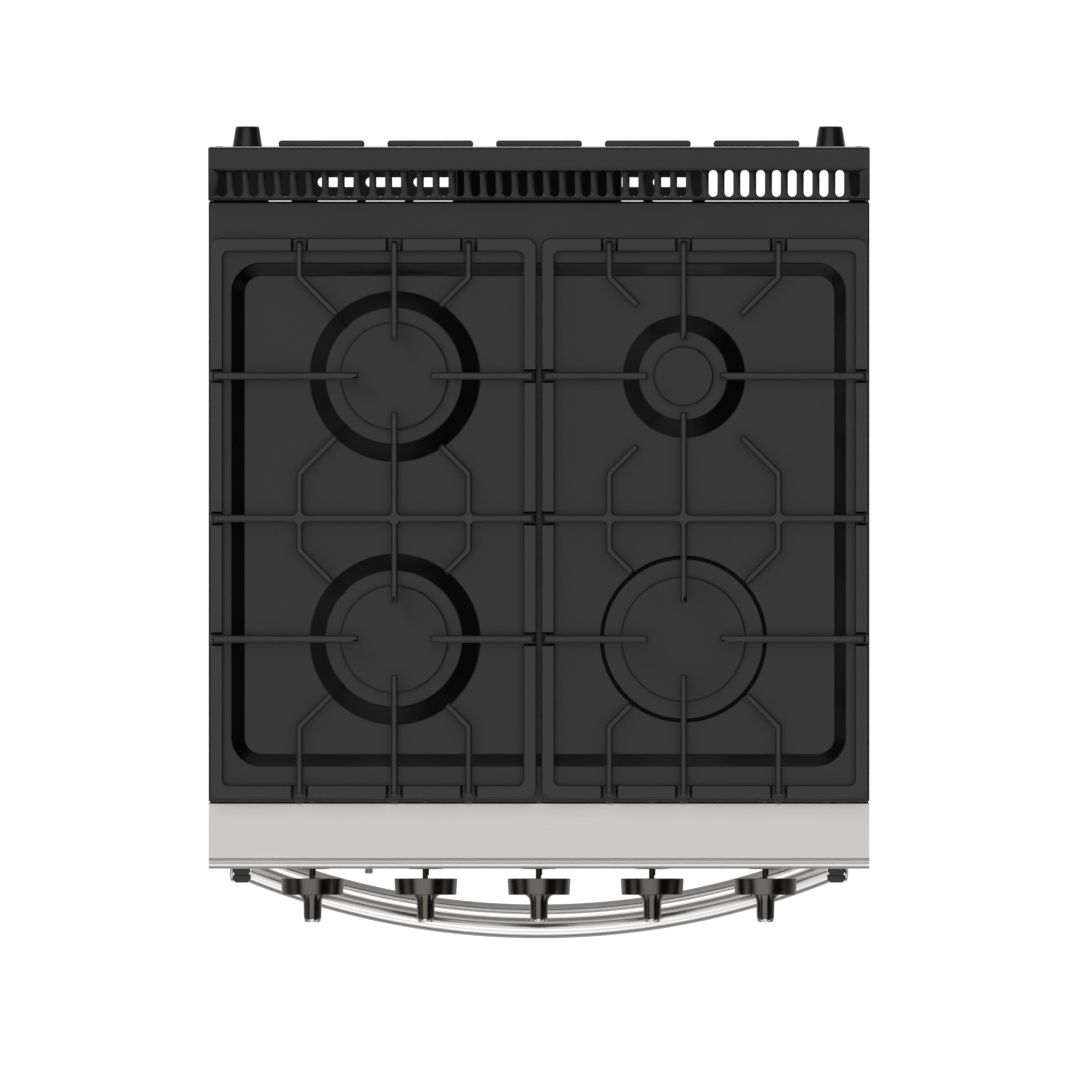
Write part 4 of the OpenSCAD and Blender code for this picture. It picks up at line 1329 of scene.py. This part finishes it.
@dataclass
class Knobs:
    """The control knobs, with the bezels behind them and the igniter button."""

    shop: Workshop
    count: int = 5
    pitch: float = 104.2
    back: float = 9.6
    skirt: float = 15.0
    length: float = 40.0
    radius: float = 29.0
    half: float = 8.3
    blade_reach: float = 26.3
    end: float = 9.5
    fillet: float = 7.0
    pocket: float = 3.2
    button_x: float = -156.6

    def blade_ring(self, half: float, reach: float, end: float, z: float) -> list[Point3]:
        """Draws one ring of the blade, with straight sides and elliptical ends.

        Args:
            half: Half its width.
            reach: Half its length.
            end: Length of each rounded end.
            z: Its height.

        Returns:
            The points of the ring.
        """
        return [(half * math.cos(a), middle + end * math.sin(a), z)
                for middle, start in ((reach - end, 0), (end - reach, 1))
                for a in (math.pi * (start + k / 16) for k in range(17))]

    def knob(self) -> Shape:
        """A knob: a hollow skirt with a grip blade across it."""
        shape = Shape()
        r, bore, top = self.radius, self.pocket, self.skirt
        skirt = [(bore, top), (bore, 0), (7, 0), (7, 5), (r - 4, 5), (r - 4, 0.3), (r - 3.6, 0), (r - 0.3, 0),
                 (r, 0.4), (r - 0.8, top - 1.0), (r - 0.95, top - 0.4), (r - 1.5, top), (bore, top)]
        shape.lathe(skirt, flat, 96, cap=False)
        rings = [self.blade_ring(bore, bore, bore, z) for z in (20.5, top - 0.3)]
        for sine, cosine in quarter(8):
            flare = self.fillet * (1 - sine)
            z = top - 0.3 + self.fillet * (1 - cosine)
            rings.append(self.blade_ring(self.half + flare, self.blade_reach, self.end + flare * 0.8, z))
        tip = self.length
        rings.append(self.blade_ring(self.half - 0.35, self.blade_reach - 0.3, self.end - 0.4, tip - 3.8))
        rings.append(self.blade_ring(self.half - 0.9, self.blade_reach - 0.9, self.end - 0.9, tip - 3.3))
        shape.loft(rings)
        return shape

    def cap(self) -> Shape:
        """The bright plate that closes the end of the blade."""
        half, reach, end = self.half - 0.8, self.blade_reach - 0.8, self.end - 0.8
        shape = Shape()
        shape.loft([self.blade_ring(half - cut, reach - cut, end - cut, self.length - low)
                    for cut, low in ((0.5, 3.3), (0.0, 3.0), (0.0, 1.2), (0.5, 0.4), (1.3, 0.0))])
        return shape

    def mark(self) -> Shape:
        """The pointer line let into the end of the blade."""
        shape = Shape()
        shape.block(-0.6, 0.6, 10.0, 24.8, self.length - 2.4, self.length - 0.04, 0.2)
        return shape

    def bezel(self) -> Shape:
        """The pressed ring round a spindle."""
        ring = [(3.4, -3), (5.8, -3), (5.8, 0), (15.9, 0), (16, 0.4), (15.7, 0.8), (15.3, 0.9), (5, 0.9),
                (3.6, 0.6), (3.4, 0.2), (3.4, -3)]
        shape = Shape()
        shape.lathe(ring, flat, 64, cap=False)
        return shape

    def build(self) -> None:
        """Makes every knob, bezel and the button."""
        bezels = Shape()
        for i in range(1, self.count + 1):
            seat = on_face((i - (self.count + 1) / 2) * self.pitch)
            bezels.add(self.bezel(), seat)
            out, body = seat @ Matrix.Translation((0, 0, self.back)), f"knob_{i}"
            self.shop.piece(f"control_knob_{i}", self.knob().placed(out), Slot.BLACK_NICKEL, body, [body])
            self.shop.piece(f"control_knob_cap_{i}", self.cap().placed(out), Slot.HANDLE_STEEL, body)
            self.shop.piece(f"control_knob_mark_{i}", self.mark().placed(out), Slot.SPINDLE_BLACK, body)
        self.shop.piece("bezels", bezels, Slot.BEZEL_STEEL, "chassis", ["knob_bezels"])
        button = Shape()
        button.lathe([(0, -12), (5.5, -12), (5.5, -9), (3.5, -9), (3.5, 4), (3.3, 4.6), (2.8, 5), (2, 4.8),
                      (0, 4.6)], flat, 40)
        self.shop.piece("spark_button", button.placed(on_face(self.button_x)), Slot.BUTTON_PLASTIC,
                        "igniter_button", ["igniter_button"])


# ---------------------------------------------------------------- doors


class Front(Enum):
    """The two fronts that open."""

    DOOR = "door"
    DRAWER = "drawer"


@dataclass
class BowedHandle:
    """A bowed tube handle on two moulded mounts."""

    shop: Workshop
    front: Front
    face: float
    tip: float
    height: float
    bow: float = 712.0
    tube: float = 9.2
    mount: Point2 = (266.4, 282.4)
    drop: float = 51.3

    def bar(self) -> Shape:
        """The bowed tube, with a polished cap beyond each mount."""
        shape = Shape()
        reach = math.asin(self.mount[0] / self.bow)
        path = [Vector((self.bow * math.sin(a), self.tip + self.bow * (1 - math.cos(a)), self.height))
                for a in (reach * (k / 48 - 1) for k in range(97))]
        shape.sweep(path, circle(0, 0, self.tube, 36), Vector((0, 0, 1)))
        base = self.tip + self.drop
        for sign in (-1, 1):
            shape.lathe([(0, 0), (8.4, 0), (8.6, 0.4), (8.3, 1.4), (6.5, 2.4), (3, 2.9), (0, 3.0)],
                        lambda u, v, w: (sign * (self.mount[1] + w), base + 0.5 + v, self.height + u), 40)
        return shape

    def mounts(self) -> Shape:
        """The mounts: a foot, a waist and a chamfered head."""
        shape = Shape()
        base = self.tip + self.drop
        x0, x1 = self.mount
        head = [(x0, base - 2), (x0, base - 6.6), (x0 + 2.6, base - 9), (x1 - 2.6, base - 9),
                (x1, base - 6.6), (x1, base - 2)]
        foot = [(x0, base), (x1, base), (x1, self.face), (x0, self.face)]
        low, high = self.height - 13, self.height + 13
        for sign in (-1, 1):
            parts = Shape()
            parts.slab([softened(turned_left(foot), 1.0, 0)], [], low, high, 0.9, flat)
            parts.block(x0 + 1.1, x1 - 1.1, base - 2.6, base + 0.6, low + 1, high - 1, 0.3)
            parts.slab([softened(turned_left(head), 1.2, 0)], [], low, high, 0.9, flat)
            parts.bent(lambda x, y, z: (sign * x, y, z))
            shape.add(parts)
        return shape

    def build(self) -> None:
        """Makes the bar and its mounts."""
        name = self.front.value
        self.shop.piece(f"{name}_bar", self.bar(), Slot.HANDLE_STEEL, name, [f"{name}_handle"])
        self.shop.piece(f"{name}_bar_mounts", self.mounts(), Slot.BLACK_PLASTIC, name,
                        [f"{name}_handle_mounts"])


@dataclass
class FrontSkin:
    """The folded steel skin of a front that opens."""

    shop: Workshop
    front: Front
    face: float
    back: float
    low: float
    high: float
    half_width: float = 302.5
    bend: float = 2.4
    corner: float = 3.6
    wall: float = 1.1

    def skin(self, node: str, windows: Sequence[Outline], lip: float, notches: Sequence[Point2]) -> None:
        """Makes the skin.

        Args:
            node: The frame's solid that it stands for.
            windows: Windows in its face.
            lip: Depth of their turned-in edges.
            notches: Stretches of the lowest edge that are cut away.
        """
        shape = Shape()
        outline = rounded_rect(-self.half_width, self.half_width, self.low, self.high, self.corner, 5)
        pan(shape, outline, -self.face, -self.back, self.bend, windows, upright, lip, notches)
        name = self.front.value
        self.shop.piece(f"{name}_skin", shape, Slot.STAINLESS, name, [node], wall=self.wall,
                        outward=Vector((0, -1, 0)), sharp=50)


@dataclass
class OvenDoor(FrontSkin):
    """The oven door's outer skin, and the braided seal that it closes on."""

    window: Point3 = (190.0, 330.0, 640.0)
    hinge_x: float = 275.0
    notch: float = 6.0
    seal_path: Point3 = (247.5, 268.0, 725.5)
    seal_level: float = 264.5

    def build(self) -> None:
        """Makes the skin, its window and the seal."""
        half, low, high = self.window
        self.skin("door_shell", [rounded_rect(-half, half, low, high, 14, 8)], 1.2,
                  [(x - self.notch, x + self.notch) for x in (-self.hinge_x, self.hinge_x)])
        seal = Shape()
        half, low, high = self.seal_path
        path = rounded_rect(-half, half, low, high, 14, 10)
        section = [(4.4 * math.cos(a), self.seal_level + 1.25 * math.sin(a))
                   for a in (math.pi / 8 * k for k in range(17))]
        seal.loft([[upright(u, v, w) for u, v in inset(path, d)] for d, w in section], cap=False)
        self.shop.piece("door_seal", seal, Slot.GLASS_BRAID, "chassis", ["door_gasket"])


@dataclass
class DrawerFront(FrontSkin):
    """The lower drawer's steel front."""

    def build(self) -> None:
        """Makes the front."""
        self.skin("drawer_front", [], 0.0, [])


# ---------------------------------------------------------------- the rest


@dataclass
class CarriedParts:
    """The frame's own solids that keep their shape and only need their finish."""

    shelf: FinishShelf
    nodes: dict[str, bpy.types.Object]
    slots: dict[str, str]

    def build(self) -> None:
        """Gives every solid the finish of its slot."""
        for name, obj in sorted(self.nodes.items()):
            material = self.shelf.get(Slot(self.slots[name]))
            if not obj.material_slots:
                obj.data.materials.append(material)
            for place in obj.material_slots:
                place.material = material
            LOG.info("%s: finished as %s", name, self.slots[name])


@dataclass(frozen=True)
class Lobe:
    """Light from round a direction, full within near degrees of it and gone beyond far."""

    direction: Point3
    near: float
    far: float
    strength: float

    def add(self, nodes: Nodes, ray: Socket) -> Socket:
        """Adds its nodes.

        Args:
            nodes: The tree to add them to.
            ray: The direction that is looked in.

        Returns:
            Its light from that direction.
        """
        toward = Vector(self.direction).normalized()
        dot = nodes.add("VectorMath", {0: ray, 1: toward}, operation="DOT_PRODUCT")
        limits = [math.cos(math.radians(angle)) for angle in (self.far, self.near)]
        return nodes.remap(dot.outputs["Value"], *limits, 0, self.strength, "SMOOTHSTEP")


@dataclass
class Studio:
    """The floor, the sky, the lamps and the camera."""

    distance: float = 41.4
    lens: float = 1500.0
    sensor: float = 36.0
    level: float = 0.84
    look: Point2 = (0.0009, -0.0074)
    aim: Point3 = (0.0, 0.0, 0.6)
    pale: Color = (0.93, 0.93, 0.93)
    lobes: tuple[Lobe, ...] = (
        Lobe((-0.18, 0.08, 1.0), 20, 42, 1.28), Lobe((-0.1, -1.0, 0.02), 18, 48, 0.75),
        Lobe((-0.8, -0.8, 0.75), 4, 22, 0.16), Lobe((0.1, 1.0, 0.1), 14, 44, 0.45),
        Lobe((-1.0, -0.2, 0.25), 4, 20, 0.35), Lobe((1.0, -0.3, 0.2), 4, 16, 0.30))

    def show(self, name: str, data: bpy.types.ID) -> bpy.types.Object:
        """Puts a new object with that data in the scene."""
        obj = bpy.data.objects.new(name, data)
        bpy.context.scene.collection.objects.link(obj)
        return obj

    def floor(self) -> None:
        """A plain floor that glows: evenly pale to the camera, and to every other ray a painted pool of light, a
        little brighter near the range.
        """
        shape = Shape()
        shape.slab([rounded_rect(-30000, 30000, -30000, 30000, 100, 4)], [], -20, -0.5, 2, flat)
        mesh = shape.mesh("floor", None)
        graph = Graph("floor_painted_glow")
        graph.hold(Roughness=0.85, Specular_IOR_Level=0.1, Emission_Color=(1, 1, 1, 1))
        reach = graph.add("VectorMath", {0: graph.place}, operation="LENGTH").outputs["Value"]
        seen = graph.add("LightPath", {}).outputs["Is Camera Ray"]
        # Painted light: the floor glows full white for camera rays, and elsewhere as a painted pool of light that
        # fades from 0.44 near the range to 0.10 further out.
        graph.feed("Emission Strength", graph.math("MAXIMUM", seen, graph.remap(reach, 0.9, 2.8, 0.44, 0.10)))
        graph.feed("Base Color", graph.blend(graph.noise(2.0), (0.10, 0.10, 0.10), (0.11, 0.11, 0.11)))
        mesh.materials.append(graph.material)
        self.show("floor", mesh)

    def sky(self) -> None:
        """Soft white patches in reflections, and an even pale sky to look at."""
        world = bpy.data.worlds.new("studio")
        bpy.context.scene.world = world
        world.use_nodes = True
        nodes = Nodes(world.node_tree)
        nodes.tree.nodes.clear()
        coord = nodes.add("TexCoord", {}).outputs["Generated"]
        ray = nodes.add("VectorMath", {0: coord}, operation="NORMALIZE").outputs[0]
        total, *others = [lobe.add(nodes, ray) for lobe in self.lobes]
        for more in others:
            total = nodes.math("ADD", total, more)
        lit = nodes.add("Background", {"Strength": total}).outputs[0]
        seen = nodes.add("Background", {"Color": (*self.pale, 1)}).outputs[0]
        looking = nodes.add("LightPath", {}).outputs["Is Camera Ray"]
        pick = nodes.add("MixShader", {"Fac": looking, 1: lit, 2: seen})
        nodes.add("OutputWorld", {"Surface": pick.outputs[0]})

    def lamp(self, name: str, place: Point3, size: float, power: float) -> None:
        """Adds a square soft lamp that points at the range and doesn't show in reflections.

        Args:
            name: Its name.
            place: Where it stands, in metres.
            size: Length of its sides.
            power: Its power in watts.
        """
        data = bpy.data.lights.new(name, "AREA")
        data.size, data.energy = size, power
        obj = self.show(name, data)
        obj.location = place
        obj.visible_glossy = False
        obj.rotation_euler = (Vector(place) - Vector(self.aim)).to_track_quat("Z", "Y").to_euler()

    def strip(self, near: float, far: float, width: float, height: float, power: float) -> None:
        """Adds a low panel in front that faces down and brightens only what leans towards it.

        Args:
            near, far: How far in front of the middle it begins and ends, in metres.
            width: Its width.
            height: Its height over the floor.
            power: Its power in watts.
        """
        data = bpy.data.lights.new("strip", "AREA")
        data.shape = "RECTANGLE"
        data.size, data.size_y, data.energy = width, far - near, power
        obj = self.show("strip", data)
        obj.location = (0, -(near + far) / 2, height)
        obj.visible_camera = False
        obj.visible_diffuse = False

    def camera(self) -> None:
        """A very long lens straight above."""
        data = bpy.data.cameras.new("camera")
        data.lens, data.sensor_width, data.clip_end = self.lens, self.sensor, 200.0
        obj = self.show("camera", data)
        obj.location = (*self.look, self.level + self.distance)
        bpy.context.scene.camera = obj

    def build(self) -> None:
        """Sets up everything round the range."""
        self.floor()
        self.sky()
        self.lamp("key", (-1.6, 1.6, 2.6), 0.9, 28.0)
        self.lamp("fill", (1.8, -2.6, 1.9), 1.6, 22.0)
        self.strip(0.46, 1.45, 1.8, 1.06, 5.6)
        self.camera()
        bpy.context.scene.view_settings.view_transform = "Standard"
        LOG.info("studio ready")


def main() -> None:
    """Builds the range's looks round its frame."""
    logging.basicConfig(level=logging.INFO, format="%(name)s %(message)s")
    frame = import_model()
    slots = {part["node"]: part["material_slot"] for part in frame["record"]["subparts"]}
    shelf = FinishShelf()
    shop = Workshop(shelf)
    CarriedParts(shelf, frame["nodes"], slots).build()
    Cooktop(shop).build()
    BurnerCaps(shop).build()
    PanSupport(shop, "left", -1.0).build()
    PanSupport(shop, "right", 1.0).build()
    Backguard(shop).build()
    RearTrim(shop).build()
    ControlPanel(shop).build()
    Knobs(shop).build()
    OvenDoor(shop, Front.DOOR, face=-301.0, back=-267.2, low=243.0, high=765.0).build()
    DrawerFront(shop, Front.DRAWER, face=-288.0, back=-266.0, low=62.0, high=236.0).build()
    BowedHandle(shop, Front.DOOR, face=-301.0, tip=-365.8, height=715.0).build()
    BowedHandle(shop, Front.DRAWER, face=-288.0, tip=-357.1, height=190.0).build()
    Studio().build()


if __name__ == "__main__":
    main()
